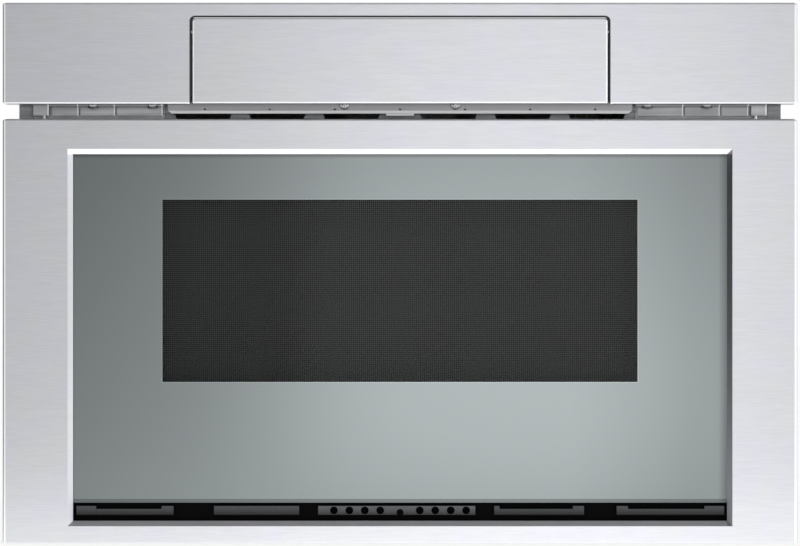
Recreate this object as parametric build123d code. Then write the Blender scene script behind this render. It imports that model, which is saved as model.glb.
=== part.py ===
from build123d import *
import math
import os

os.makedirs("parts", exist_ok=True)

# A built-in microwave drawer, 24 inches wide. Sizes are in mm. +X is right as seen from the front, +Y goes
# into the cabinet, +Z is up. The origin is in the middle of the width, on the plane of the cabinet's front,
# at the height of the shelf that carries the case.

# ---------------------------------------------------------------- driving sizes

# how far a cut runs past the face that it opens
past = 1.0

# stainless front
front_width = 606.4
front_projection = 35.0
drawer_front_height = 324.6
drawer_drop = 20.0
front_gap = 11.4
fascia_height = 77.4
skin = 1.2
corner_radius = 2.0
edge_radius = 1.5
drawer_front_clearance = 3.0

# case and its front flange
case_width = 558.8
rear_room = 126.0
case_top_drop = 21.9
case_sheet = 1.2
case_lip = 13.0
flange_lap = 12.6
flange_rise = 11.0
flange_sheet = 1.5
flange_hole_radius = 2.4
flange_hole_rows = (40.0, 270.0)
frame_room = 2.0
hook_room = 3.0

# air slots in the side panels, and the grille in the rear panel
side_slot_count = 8
side_slot_pitch = 10.0
side_slot_width = 2.5
side_slot_inset = 40.0
side_slot_drop = 93.0
side_slot_length = 74.0
grille_slots = 9
grille_rib = 4.0

# screws
screw_head_radius = 4.0
screw_head_height = 1.4
screw_radius = 1.7
screw_length = 6.0
screw_clearance = 0.1
side_screw_count = 4
side_screw_inset = 60.0
rear_screw_spread = 186.0

# cord gland
gland_x = 200.0
gland_z = 320.0
gland_radius = 11.0
gland_shoulder = 3.0
gland_bore = 5.0
gland_reach = 7.0
gland_nut = 8.0

# door glass and window
opening_width = 499.2
opening_height = 279.9
opening_rise = 17.9
bevel = 4.0
glass_setback = 5.0
glass_thickness = 5.0
glass_lap = 1.5
glass_slot = 13.7
glass_chamfer = 0.6
window_width = 362.7
window_height = 139.2
window_rise = 123.9
screen_thickness = 0.8
screen_lap = 14.0

# back plate of the drawer front
backplate_setback = 13.5
backplate_sheet = 1.5
air_hole_count = 10
air_hole_pitch = 45.0
air_hole_width = 30.0
air_hole_height = 7.0
air_hole_rise = 2.0

# vent baffle under the glass
baffle_thickness = 7.5
baffle_face = 2.5
baffle_lap = 2.0
baffle_glass_gap = 0.2
baffle_rib_height = 6.8
baffle_rib_rise = 4.5
baffle_hole_radius = 3.0
baffle_hole_pitch = 11.8
baffle_hole_count = 4
baffle_first_hole = 15.1
baffle_ribs = ((-247.0, -173.0), (-142.0, -77.0), (-62.5, 57.5), (72.0, 140.5), (165.5, 247.5))
baffle_notches = ((-232.0, -182.0), (76.0, 132.0), (174.0, 232.5))
notch_depth = 2.3

# cavity
cavity_bottom = 84.0
cavity_height = 194.0
cavity_sheet = 1.0
cavity_rear_room = 24.0
guide_height = 2.0
guide_width = 14.0
guide_inset = 20.0
guide_rear_gap = 5.0
support_width = 20.0
support_inset = 70.0
support_front = 150.0
support_rear_gap = 20.0

# drawer tub
tub_width = 436.6
tub_depth = 419.0
tub_sheet = 1.0
tub_side_room = 8.0
tub_head_room = 16.0
tub_rim = 5.0
glide_height = 1.7
glide_length = 30.0
glide_inset = 4.0
glide_spacing = 150.0
running_gap = 0.3
tray_thickness = 5.0
tray_clearance = 2.0
tray_corner = 8.0

# choke round the drawer's back
choke_land = 35.0
choke_foot = 26.0
choke_head = 24.0
choke_depth = 16.0
choke_sheet = 1.2
choke_cover_thickness = 2.2
choke_tub_gap = 1.0

# slides and carriage arms
drawer_travel = 381.0
slide_height = 42.0
slide_sheet = 1.2
slide_return = 3.0
slide_stack = 13.2
slide_arm_gap = 0.5
slide_centre = 34.0
rail_start = 0.5
outer_rail_length = 440.0
middle_rail_length = 430.0
inner_rail_start = 2.0
inner_rail_length = 420.0
arm_sheet = 2.0
arm_height = 32.0
arm_length = 456.0
arm_foot_width = 24.0
rib_height = 24.0
rib_inset = 4.0

# drive
rack_width = 10.0
rack_height = 10.0
rack_lead = 27.0
rack_tail = 17.0
gear_module = 1.5
pinion_teeth = 18
pinion_width = 8.0
pinion_arm_gap = 1.0
shaft_radius = 4.0
shaft_depth = 32.0
shaft_height = 18.0
shaft_gear_teeth = 28
motor_gear_teeth = 14
fine_module = 1.0
drive_gear_width = 8.0
drive_gear_x = 54.0
gearbox_gap = 2.0
gearbox_width = 30.0
gearbox_depth = 60.0
gearbox_height = 44.0
gearbox_lead = 9.0
gearbox_corner = 3.0
motor_radius = 18.0
motor_length = 60.0
motor_inset = 6.0
motor_rise = 4.0
motor_boss_radius = 6.0
motor_boss_length = 3.0
motor_foot_width = 18.0
motor_foot_gap = 5.0
motor_shaft_radius = 3.0
motor_shaft_length = 14.0
bearing_width = 12.0
bearing_reach = 11.0
bearing_x = 230.0
bearing_shoulder = 3.0
bearing_foot_reach = 20.0
bearing_foot_height = 3.0
pressure_angle = math.radians(20.0)
tooth_addendum = 0.8
tooth_dedendum = 1.1
tooth_backlash = 0.16
shaft_fit = 0.05

# interlock hooks and switches
hook_x = 200.0
hook_width = 6.0
hook_height = 12.0
hook_rise = 3.0
hook_reach = 14.0
hook_nose = 4.0
hook_foot_reach = 4.0
hook_foot_sheet = 2.0
switch_width = 16.0
switch_depth = 28.0
switch_height = 22.0

# hole in the fascia, control flap
hole_width = 321.2
hole_drop = 9.9
hole_radius = 4.2
hole_return = 2.8
flap_gap = 2.1
flap_lift = 0.4
flap_radius = 2.8
flap_edge_radius = 0.8
flap_return = 8.0
pivot_setback = 8.0
pivot_lift = 4.0
flap_travel = 45.0
pivot_radius = 2.0
pivot_hub = 1.0
flap_pin_depth = 9.0
glass_tilt = 23.0
glass_tuck = 1.0
touch_glass_length = 36.0
touch_glass_thickness = 2.0
touch_glass_width = 300.0
touch_glass_gap = 0.5
housing_wall = 2.0
housing_end_gap = 3.5
housing_step = 1.0
housing_shoulder = 6.0
housing_knee_depth = 18.0
housing_knee_rise = 6.0
housing_heel = 5.0
housing_boss_length = 10.0
housing_back_rim = 3.0
housing_back_depth = 5.0
board_thickness = 1.6
display_margin = 5.0
display_end_margin = 20.0
chip_count = 4
chip_pitch = 40.0
chip_width = 12.0
chip_length = 10.0
chip_height = 2.0

# pocket behind the flap, its latch and damper
pocket_sheet = 1.2
pocket_drop = 3.0
pocket_gap = 2.4
pocket_depth = 18.0
flap_clearance = 1.0
latch_width = 24.0
latch_height = 9.0
latch_rise = 30.0
latch_gap = 1.6
latch_nose_width = 8.0
latch_nose_length = 3.0
latch_nose_inset = 2.0
damper_teeth = 12
sector_teeth = 72
spare_teeth = 2
damper_angle = 68.0
damper_width = 2.6
sector_width = 3.0
damper_shaft_radius = 2.0
damper_body_radius = 8.0
damper_body_length = 11.0
damper_cap = 3.0
damper_ear_width = 6.0
damper_ear_drop = 13.0
damper_ear_thickness = 2.0

# vent ledge and the tapered vents under it
ledge_setback = 21.0
ledge_width = 355.4
ledge_height = 6.9
ledge_rise = 3.0
ledge_lip = 2.3
ledge_lip_reach = 2.0
ledge_taper = 3.0
ledge_tab_width = 21.4
ledge_tab_drop = 1.5
ledge_dot_radius = 0.8
ledge_dot_rise = 0.9
ledge_dot_pitch = 49.8
ledge_dot_count = 7
ledge_screw_x = 42.5
vent_count = 6
vent_width = 43.6
vent_height = 6.0
vent_slope = 2.3
vent_pitch = 56.9
vent_middle_pitch = 74.4

# fascia brackets
bracket_height = 8.4
bracket_base = 1.2
bracket_plate_drop = 2.5
bracket_pad = 1.8
bracket_groove = 1.5
bracket_pads = ((182.0, 217.0), (218.5, 245.0), (246.5, 267.0))
bracket_block = (268.9, 280.7)
bracket_block_reach = 10.5
bracket_pin_radius = 1.2
bracket_pin_inset = 3.5
bracket_pin_setback = 3.0
bracket_pin_length = 2.8
bracket_screws = (189.5, 235.0)
bracket_screw_depth = 9.0

# stirrer and waveguide above the cavity
dome_half = 100.0
dome_front = 120.0
dome_height = 21.0
dome_sheet = 1.0
dome_lap = 10.0
ceiling_hole_margin = 1.0
cover_thickness = 1.2
guide_tube_width = 86.0
guide_tube_height = 38.0
guide_tube_front = 180.0
port_margin = 8.0
port_front = 10.0
port_rear = 30.0
shaft_hole_room = 1.0
stirrer_motor_radius = 25.0
stirrer_motor_height = 18.0
stirrer_motor_cap = 5.0
stirrer_ear_reach = 8.0
stirrer_ear_width = 12.0
stirrer_ear_sheet = 1.5
stirrer_radius = 78.0
stirrer_blades = 4
stirrer_blade_tilt = 25.0
stirrer_blade_sheet = 1.2
stirrer_hub_radius = 9.0
stirrer_hub_height = 10.0
stirrer_arm_width = 22.0
stirrer_shaft_radius = 3.0

# magnetron behind the cavity
magnetron_width = 90.0
magnetron_depth = 90.0
magnetron_height = 95.0
magnetron_clearance = 14.0
magnetron_offset = 50.0
magnetron_plate = 3.0
antenna_radius = 10.0
antenna_height = 24.0
antenna_room = 2.0
anode_radius = 18.0
fin_count = 6
fin_sheet = 0.8
fin_inset = 6.0
filter_height = 28.0
filter_side_inset = 12.0
filter_end_inset = 8.0

# high-voltage transformer and capacitor
transformer_x = -205.0
transformer_size = (90.0, 94.0, 84.0)
transformer_gap = 14.6
transformer_foot_reach = 6.0
transformer_foot_sheet = 2.0
coil_wrap = 9.0
coil_height = 25.0
coil_rises = (17.0, 50.0)
capacitor_x = 152.0
capacitor_inset = 60.0
capacitor_radius = 25.0
capacitor_height = 90.0
capacitor_edge = 3.0
terminal_radius = 3.0
terminal_height = 8.0
terminal_spacing = 20.0

# cooling fan
fan_x = -140.0
fan_z = 200.0
fan_square = 120.0
fan_depth = 38.0
fan_corner = 6.0
fan_bore_radius = 57.0
fan_plate = 4.0
fan_spokes = 3
spoke_width = 5.0
spoke_lap = 2.0
fan_hub_radius = 20.0
fan_tip_gap = 3.0
fan_blades = 7
fan_blade_chord = 24.0
fan_blade_sheet = 2.0
fan_blade_tilt = 35.0
fan_wheel_depth = 18.0
fan_wheel_gap = 0.5
fan_motor_radius = 18.0
fan_motor_depth = 11.0
fan_shaft_radius = 3.0
fan_shaft_length = 19.0

# main board over the cavity
board_width = 100.0
board_depth = 170.0
board_x = 165.0
board_front = 60.0
board_rise = 20.0
board_foot_radius = 3.0
board_foot_inset = 6.0
relay_count = 3
relay_width = 28.0
relay_depth = 18.0
relay_height = 15.0
relay_pitch = 26.0
relay_side_inset = 10.0
relay_front_inset = 20.0
mains_block_width = 36.0
mains_block_depth = 38.0
mains_block_height = 28.0
mains_block_side_inset = 14.0
mains_block_rear_inset = 22.0
reservoir_count = 3
reservoir_radius = 7.0
reservoir_height = 20.0
reservoir_pitch = 24.0
reservoir_inset = 24.0

# oven lamp
lamp_size = 30.0
lamp_inset = 45.0
lamp_z = 240.0
lamp_plate = 3.0
lamp_socket_radius = 10.0
lamp_socket_length = 12.0
lamp_bulb_radius = 8.0
lamp_bulb_length = 18.0

# ---------------------------------------------------------------- places worked out from them

face_y = -front_projection
drawer_bottom = -drawer_drop
drawer_top = drawer_bottom + drawer_front_height
fascia_bottom = drawer_top + front_gap
fascia_top = fascia_bottom + fascia_height
case_top = fascia_top - case_top_drop
case_half = case_width / 2
side_inner = case_half - 2 * case_sheet
flange_half = case_half + flange_lap
flange_y = -flange_sheet

opening_x = (-opening_width / 2, opening_width / 2)
opening_z = (drawer_bottom + opening_rise, drawer_bottom + opening_rise + opening_height)
glass_bottom = opening_z[0] + glass_slot
glass_y = (face_y + glass_setback, face_y + glass_setback + glass_thickness)
backplate_y = (face_y + backplate_setback, face_y + backplate_setback + backplate_sheet)
window_x = (-window_width / 2, window_width / 2)
window_z = (drawer_bottom + window_rise, drawer_bottom + window_rise + window_height)

cavity_top = cavity_bottom + cavity_height
tub_half = tub_width / 2 + tub_sheet
cavity_half = tub_half + tub_side_room
tub_bottom = cavity_bottom + guide_height + running_gap + glide_height
tub_top = cavity_top - tub_head_room
tub_front = backplate_y[1]
tub_rear = tub_front + tub_depth + 2 * tub_sheet
cavity_rear = tub_rear + cavity_rear_room
guide_x = cavity_half - guide_inset
case_depth = cavity_rear + cavity_sheet + rear_room
case_inner_rear = case_depth - 2 * case_sheet

choke_y = (backplate_y[1], backplate_y[1] + choke_depth)
choke_cover_y = (choke_y[1], choke_y[1] + choke_cover_thickness)
choke_half = cavity_half + choke_land
choke_z = (cavity_bottom - choke_foot, cavity_top + choke_head)
choke_hole_half = tub_half + choke_tub_gap
choke_hole_z = (tub_bottom - choke_tub_gap, tub_top + choke_tub_gap)

arm_outer = side_inner - slide_stack
arm_inner = arm_outer - arm_sheet
arm_z = (slide_centre - arm_height / 2, slide_centre + arm_height / 2)
outer_rail_width = slide_stack - slide_arm_gap
middle_rail_x = slide_sheet + running_gap
middle_rail_width = outer_rail_width - 2 * middle_rail_x
inner_rail_x = 2 * middle_rail_x
inner_rail_width = middle_rail_width - 2 * middle_rail_x
inner_rail_y = (backplate_y[1] + inner_rail_start, backplate_y[1] + inner_rail_start + inner_rail_length)

rack_inner = arm_inner - rack_width
pinion_pitch_radius = gear_module * pinion_teeth / 2
rack_pitch_z = shaft_height + pinion_pitch_radius
rack_y = (shaft_depth - rack_lead, shaft_depth + drawer_travel + rack_tail)
pinion_x = (arm_inner - pinion_arm_gap - pinion_width, arm_inner - pinion_arm_gap)
drive_gear_span = (drive_gear_x, drive_gear_x + drive_gear_width)
shaft_gear_radius = fine_module * shaft_gear_teeth / 2
motor_gear_radius = fine_module * motor_gear_teeth / 2
motor_gear_y = shaft_depth + shaft_gear_radius + motor_gear_radius
gearbox_x = drive_gear_span[1] + gearbox_gap
hook_z = (slide_centre + hook_rise, slide_centre + hook_rise + hook_height)

hole_half = hole_width / 2
hole_top = fascia_top - hole_drop
flap_half = hole_half - flap_gap
flap_z = (fascia_bottom + flap_lift, hole_top - flap_gap)
pivot_y = face_y + pivot_setback
pivot_z = fascia_bottom + pivot_lift
pocket_half = hole_half + pocket_gap
pocket_outer = pocket_half + pocket_sheet
housing_half = flap_half - housing_end_gap
ledge_y = face_y + ledge_setback
ledge_bottom = fascia_bottom - ledge_height
pocket_floor = fascia_bottom - pocket_drop
vent_z = (ledge_bottom - vent_height, ledge_bottom)
damper_reach = fine_module * (sector_teeth + damper_teeth) / 2
damper_y = pivot_y + damper_reach * math.cos(math.radians(damper_angle))
damper_z = pivot_z + damper_reach * math.sin(math.radians(damper_angle))

dome_z = (cavity_top + cavity_sheet, cavity_top + cavity_sheet + dome_height)
dome_y = (dome_front, dome_front + 2 * dome_half)
stirrer_y = (dome_y[0] + dome_y[1]) / 2
magnetron_y = cavity_rear + cavity_sheet + magnetron_clearance + magnetron_depth / 2
guide_tube_y = (guide_tube_front, magnetron_y + magnetron_offset)
guide_tube_z = (dome_z[1], dome_z[1] + guide_tube_height)
stirrer_motor_z = (guide_tube_z[1], guide_tube_z[1] + stirrer_motor_height)
fan_motor_y = (case_inner_rear - fan_plate - fan_motor_depth, case_inner_rear - fan_plate)
lamp_y = cavity_rear - lamp_inset


# ---------------------------------------------------------------- spans and shapes


def both(value):
    """The span from minus a value to plus it."""
    return (-value, value)


def about(centre, width):
    """The span of a width around a centre."""
    return (centre - width / 2, centre + width / 2)


def grown(span, margin):
    """A span made longer by a margin at both ends."""
    return (span[0] - margin, span[1] + margin)


def through(span):
    """The span of a cut that goes right through and a little past both faces."""
    return grown(span, past)


def block(x, y, z):
    """Box over a span on each axis."""
    size = Box(x[1] - x[0], y[1] - y[0], z[1] - z[0])
    return Pos((x[0] + x[1]) / 2, (y[0] + y[1]) / 2, (z[0] + z[1]) / 2) * size


def side_prism(points, x):
    """Outline in Y and Z, carried along X."""
    plane = Plane(origin=(x[0], 0, 0), x_dir=(0, 1, 0), z_dir=(1, 0, 0))
    return extrude(plane * make_face(Polyline(*points, close=True)), amount=x[1] - x[0])


def front_prism(points, y):
    """Outline in X and Z, carried along Y."""
    plane = Plane(origin=(0, y[1], 0), x_dir=(1, 0, 0), z_dir=(0, -1, 0))
    return extrude(plane * make_face(Polyline(*points, close=True)), amount=y[1] - y[0])


def upright_rectangle(x, y, z):
    """Rectangular face at one depth."""
    plane = Plane(origin=((x[0] + x[1]) / 2, y, (z[0] + z[1]) / 2), x_dir=(1, 0, 0), z_dir=(0, -1, 0))
    return plane * Rectangle(x[1] - x[0], z[1] - z[0])


def rod(radius, start, direction, length):
    """Cylinder from a start point along a direction."""
    plane = Plane(origin=start, z_dir=direction)
    return plane * Cylinder(radius, length, align=(Align.CENTER, Align.CENTER, Align.MIN))


def rod_x(radius, x, y, z):
    """Cylinder along X over a span."""
    return rod(radius, (x[0], y, z), (1, 0, 0), x[1] - x[0])


def rod_y(radius, x, y, z):
    """Cylinder along Y over a span."""
    return rod(radius, (x, y[0], z), (0, 1, 0), y[1] - y[0])


def rod_z(radius, x, y, z):
    """Cylinder along Z over a span."""
    return rod(radius, (x, y, z[0]), (0, 0, 1), z[1] - z[0])


def mirrored(shape):
    """The same shape on the other side of the middle."""
    return mirror(shape, about=Plane.YZ)


def pair(shape):
    """A shape and its mirror image, as two solids of one node."""
    return [shape, mirrored(shape)]


def write(name, solids):
    """One STEP file for one node."""
    shapes = solids if isinstance(solids, list) else [solids]
    children = [solid for shape in shapes for solid in shape.solids()]
    export_step(Compound(children=children), f"parts/{name}.step")


# ---------------------------------------------------------------- teeth


def tooth_points(module, teeth, turn, first, count):
    """Corners of involute teeth in a row, with tooth 0 of the gear centred on the angle of turn."""
    pitch_radius = module * teeth / 2
    base_radius = pitch_radius * math.cos(pressure_angle)
    tip_radius = pitch_radius + tooth_addendum * module
    root_radius = pitch_radius - tooth_dedendum * module
    flank_radius = max(base_radius, root_radius)
    half_at_pitch = math.pi / (2 * teeth) - tooth_backlash / (2 * pitch_radius)
    involute_at_pitch = math.tan(pressure_angle) - pressure_angle
    flank_steps = 4
    flank = []
    for step in range(flank_steps + 1):
        radius = flank_radius + (tip_radius - flank_radius) * step / flank_steps
        pressure = math.acos(min(1.0, base_radius / radius))
        half = half_at_pitch + involute_at_pitch - (math.tan(pressure) - pressure)
        flank.append((radius, half))
    if root_radius < base_radius:
        flank.insert(0, (root_radius, flank[0][1]))
    points = []
    for tooth in range(first, first + count):
        centre = turn + 2 * math.pi * tooth / teeth
        corners = [(radius, centre - half) for radius, half in flank]
        corners += [(radius, centre + half) for radius, half in reversed(flank)]
        points += [(radius * math.cos(angle), radius * math.sin(angle)) for radius, angle in corners]
    return points


def spur_gear(module, teeth, turn, centre, x, bore):
    """Gear on an axis along X. Its centre is given in Y and Z."""
    points = [(centre[0] + y, centre[1] + z) for y, z in tooth_points(module, teeth, turn, 0, teeth)]
    gear = side_prism(points, x)
    if bore:
        gear -= rod_x(bore, through(x), centre[0], centre[1])
    return gear


def facing_gap(angle, teeth):
    """Turn that puts the gap between two teeth at an angle."""
    return angle + math.pi / teeth


# ---------------------------------------------------------------- screws of the case


def screw(seat, direction):
    """Low pan-head screw. Its head's underside is at the seat, and its shank goes along the direction."""
    away = (-direction[0], -direction[1], -direction[2])
    head = rod(screw_head_radius, seat, away, screw_head_height)
    return head + rod(screw_radius, seat, direction, screw_length)


def screw_hole(seat, direction):
    """Clearance hole for the shank of a screw, from just in front of its seat."""
    start = tuple(seat[axis] - past * direction[axis] for axis in range(3))
    return rod(screw_radius + screw_clearance, start, direction, screw_length + 2 * past)


def lip_heights():
    """Heights of the lower and the upper row of screws, in the middle of the lips."""
    return (case_sheet + case_lip / 2, case_top - case_sheet - case_lip / 2)


def side_screw_seats():
    """Seats of the screws in the lips along both sides of the case."""
    pitch = (case_depth - 2 * side_screw_inset) / (side_screw_count - 1)
    seats = []
    for number in range(side_screw_count):
        y = side_screw_inset + number * pitch
        for z in lip_heights():
            seats.append(((-case_half, y, z), (1, 0, 0)))
            seats.append(((case_half, y, z), (-1, 0, 0)))
    return seats


def rear_screw_seats():
    """Seats of the screws in the lips at the back of the case."""
    places = [(x, z) for x in (-rear_screw_spread, 0.0, rear_screw_spread) for z in lip_heights()]
    return [((x, case_depth, z), (0, -1, 0)) for x, z in places]


def fascia_screw_seats():
    """Seats of the screws that hold the fascia to its brackets from below."""
    z = fascia_bottom - bracket_base
    return [((side * x, -bracket_screw_depth, z), (0, 0, 1)) for x in bracket_screws for side in (-1, 1)]


def ledge_screw_seats():
    """Seats of the two screws in the face of the vent ledge."""
    return [((side * ledge_screw_x, ledge_y, fascia_bottom), (0, 1, 0)) for side in (-1, 1)]


def drilled(shape, seats):
    """A sheet with clearance holes for screws."""
    for seat, direction in seats:
        shape -= screw_hole(seat, direction)
    return shape


def make_screws():
    seats = side_screw_seats() + rear_screw_seats() + fascia_screw_seats() + ledge_screw_seats()
    return [screw(seat, direction) for seat, direction in seats]


# ---------------------------------------------------------------- case


def make_base_pan():
    pan = block(both(case_half), (0, case_depth), (0, case_sheet + case_lip))
    pan -= block(both(case_half - case_sheet), (-past, case_depth - case_sheet), (case_sheet, case_top))
    return drilled(pan, side_screw_seats() + rear_screw_seats())


def make_top_cover():
    cover = block(both(case_half), (0, case_depth), (case_top - case_sheet - case_lip, case_top))
    cover -= block(both(case_half - case_sheet), (-past, case_depth - case_sheet), (0, case_top - case_sheet))
    return drilled(cover, side_screw_seats() + rear_screw_seats())


def make_side_panel():
    """Right side panel, with a row of air slots towards the back."""
    x = (side_inner, case_half - case_sheet)
    panel = block(x, (0, case_inner_rear), (case_sheet, case_top - case_sheet))
    slot_z = (case_top - side_slot_drop - side_slot_length, case_top - side_slot_drop)
    for number in range(side_slot_count):
        y = case_depth - side_slot_inset - side_slot_pitch * number
        panel -= block(through(x), (y - side_slot_width, y), slot_z)
    return drilled(panel, side_screw_seats())


def make_rear_panel():
    """Rear panel with a round grille of slots in front of the fan and a hole for the cord gland."""
    y = (case_inner_rear, case_depth - case_sheet)
    panel = block(both(case_half - case_sheet), y, (case_sheet, case_top - case_sheet))
    slot_pitch = 2 * fan_bore_radius / grille_slots
    for number in range(grille_slots):
        z = fan_z + slot_pitch * (number - (grille_slots - 1) / 2)
        slot_z = about(z, slot_pitch / 2)
        edge = max(abs(slot_z[0] - fan_z), abs(slot_z[1] - fan_z))
        half = math.sqrt(fan_bore_radius**2 - edge**2)
        slot = block((fan_x - half, fan_x + half), through(y), slot_z)
        panel -= slot - block(about(fan_x, grille_rib), through(y), through(slot_z))
    panel -= rod_y(gland_radius - gland_shoulder + screw_clearance, gland_x, through(y), gland_z)
    return drilled(panel, rear_screw_seats())


def slide_slot():
    """Opening in the front frame for a slide, an arm and a rack, on the right."""
    z = grown(about(slide_centre, slide_height), frame_room)
    return block((rack_inner - frame_room, side_inner), through((flange_y, 0)), z)


def vent_outline(centre):
    """Corners of one tapered vent."""
    half = vent_width / 2
    return [
        (centre - half, vent_z[1]),
        (centre + half, vent_z[1]),
        (centre + half - vent_slope, vent_z[0]),
        (centre - half + vent_slope, vent_z[0]),
    ]


def make_front_frame():
    """Flange round the case's front, open for the tub, the slides, the hooks, the vents and the pocket."""
    sheet = (flange_y, 0)
    frame = block(both(flange_half), sheet, (-flange_rise, case_top + flange_rise))
    frame = fillet(frame.edges().filter_by(Axis.Y), corner_radius)
    frame -= block(both(cavity_half), through(sheet), (cavity_bottom, cavity_top))
    frame -= slide_slot()
    frame -= mirrored(slide_slot())
    frame -= block(both(pocket_outer), through(sheet), (pocket_floor, case_top + flap_clearance))
    for side in (-1, 1):
        hook_room_x = about(side * hook_x, hook_width + 2 * hook_room)
        frame -= block(hook_room_x, through(sheet), grown(hook_z, hook_room))
        for number in range(vent_count // 2):
            centre = side * (vent_middle_pitch / 2 + number * vent_pitch)
            frame -= front_prism(vent_outline(centre), through(sheet))
        for z in flange_hole_rows:
            x = side * (flange_half + case_half) / 2
            frame -= rod_y(flange_hole_radius, x, through(sheet), z)
    return frame


def make_cord_gland():
    """Gland with a nut inside the rear panel, a shoulder outside it and a short neck at its end."""
    neck_y = (case_inner_rear - gland_nut, case_depth + gland_reach)
    shoulder_y = (case_depth - case_sheet, case_depth - case_sheet + gland_reach)
    gland = rod_y(gland_radius - gland_shoulder, gland_x, neck_y, gland_z)
    gland += rod_y(gland_radius, gland_x, (neck_y[0], case_inner_rear), gland_z)
    gland += rod_y(gland_radius, gland_x, shoulder_y, gland_z)
    return gland - rod_y(gland_bore, gland_x, through(neck_y), gland_z)


# ---------------------------------------------------------------- fascia and the strip under it


def folded_panel(z, rear):
    """Stainless tray, open at the back, with rounded corners and front edges."""
    outer = block(both(front_width / 2), (face_y, rear), z)
    outer = fillet(outer.edges().filter_by(Axis.Y), corner_radius)
    outer = fillet(outer.faces().sort_by(Axis.Y)[0].edges(), edge_radius)
    inner_z = (z[0] + skin, z[1] - skin)
    return outer - block(both(front_width / 2 - skin), (face_y + skin, rear + past), inner_z)


def arched_block(half, y, z, radius):
    """Box with its two upper corners rounded."""
    shape = block(both(half), y, z)
    return fillet(shape.edges().filter_by(Axis.Y).sort_by(Axis.Z)[-2:], radius)


def make_fascia():
    fascia = folded_panel((fascia_bottom, fascia_top), flange_y)
    rim_y = (face_y + skin / 2, face_y + skin + hole_return)
    fascia += arched_block(hole_half + skin, rim_y, (fascia_bottom, hole_top + skin), hole_radius + skin)
    hole_y = through((face_y, rim_y[1]))
    fascia -= arched_block(hole_half, hole_y, (fascia_bottom - past, hole_top), hole_radius)
    fascia -= block(both(pocket_outer), (face_y + skin, past), (fascia_bottom - past, fascia_bottom + skin))
    return drilled(fascia, fascia_screw_seats())


def make_fascia_bracket():
    """Right bracket: a plate with three raised pads, a leg under the fascia, a locating block and its pin."""
    x = (bracket_pads[0][0] - bracket_groove, bracket_block[1])
    plate_y = (flange_y - bracket_base, flange_y)
    leg_y = (plate_y[0] - bracket_block_reach, plate_y[1])
    z = (fascia_bottom - bracket_height, fascia_bottom)
    bracket = block(x, plate_y, (z[0] - bracket_plate_drop, z[1]))
    for pad in bracket_pads:
        bracket += block(pad, (plate_y[0] - bracket_pad, plate_y[1]), z)
    bracket += block(x, leg_y, (z[1] - bracket_base, z[1]))
    bracket += block(bracket_block, leg_y, z)
    pin_x = bracket_block[0] + bracket_pin_inset
    pin_z = (z[0] - bracket_pin_length, z[0] + bracket_pin_length)
    bracket += rod_z(bracket_pin_radius, pin_x, leg_y[0] + bracket_pin_setback, pin_z)
    return drilled(bracket, fascia_screw_seats())


def make_vent_ledge():
    """Bright ledge under the flap, with a lip, a row of small holes and a tab in its middle."""
    half = ledge_width / 2
    low = ledge_bottom
    outline = [
        (-half, fascia_bottom),
        (-half, low + ledge_taper),
        (-half + ledge_taper, low),
        (half - ledge_taper, low),
        (half, low + ledge_taper),
        (half, fascia_bottom),
    ]
    lip = [(x, min(z, low + ledge_lip)) for x, z in outline[1:5]]
    face = (ledge_y, ledge_y + skin)
    ledge = front_prism(outline, face)
    ledge += front_prism(lip, (ledge_y - ledge_lip_reach, face[1]))
    ledge += block(both(half - ledge_taper), (ledge_y, flange_y), (low, low + skin))
    ledge += block(both(pocket_half), face, (low + skin, fascia_bottom + ledge_rise))
    ledge += block(both(ledge_tab_width / 2), (face[1], face[1] + skin), (low - ledge_tab_drop, low + skin))
    for number in range(ledge_dot_count):
        x = ledge_dot_pitch * (number - (ledge_dot_count - 1) / 2)
        ledge -= rod_y(ledge_dot_radius, x, through(face), low + ledge_lip + ledge_dot_rise)
    return drilled(ledge, ledge_screw_seats())


def make_flap_pocket():
    """Open box behind the flap: two cheeks that carry its pins, a back and a floor."""
    front = face_y + skin + running_gap
    roof = case_top - case_sheet
    pocket = block((pocket_half, pocket_outer), (front, pocket_depth), (pocket_floor, roof))
    pocket += mirrored(pocket)
    pocket += block(both(pocket_half), (pocket_depth - pocket_sheet, pocket_depth), (pocket_floor, roof))
    floor_z = (pocket_floor, pocket_floor + pocket_sheet)
    pocket += block(both(pocket_half), (ledge_y + skin, pocket_depth), floor_z)
    pocket -= block(both(case_half), (front, ledge_y + skin), (pocket_floor, fascia_bottom))
    pocket -= rod_x(pivot_radius + shaft_fit, both(case_half), pivot_y, pivot_z)
    return pocket - rod_x(damper_shaft_radius + running_gap, (-case_half, 0), damper_y, damper_z)


def make_touch_latch():
    """Push latch on the back of the pocket, with its nose just clear of the closed flap."""
    z = (pivot_z + latch_rise, pivot_z + latch_rise + latch_height)
    nose_y = housing_rear() + latch_gap
    body_y = nose_y + latch_nose_length
    latch = block(both(latch_width / 2), (body_y, pocket_depth - pocket_sheet), z)
    return latch + block(both(latch_nose_width / 2), (nose_y, body_y), grown(z, -latch_nose_inset))


def make_rotary_damper():
    """Damper body on the outside of the left cheek, with an ear below it."""
    x = -pocket_outer
    body = rod_x(damper_body_radius, (x - damper_body_length, x), damper_y, damper_z)
    ear_z = (damper_z - damper_ear_drop, damper_z)
    body += block((x - damper_ear_thickness, x), about(damper_y, damper_ear_width), ear_z)
    bore_x = (x - damper_body_length + damper_cap, x + past)
    return body - rod_x(damper_shaft_radius + shaft_fit, bore_x, damper_y, damper_z)


# ---------------------------------------------------------------- control flap


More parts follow.
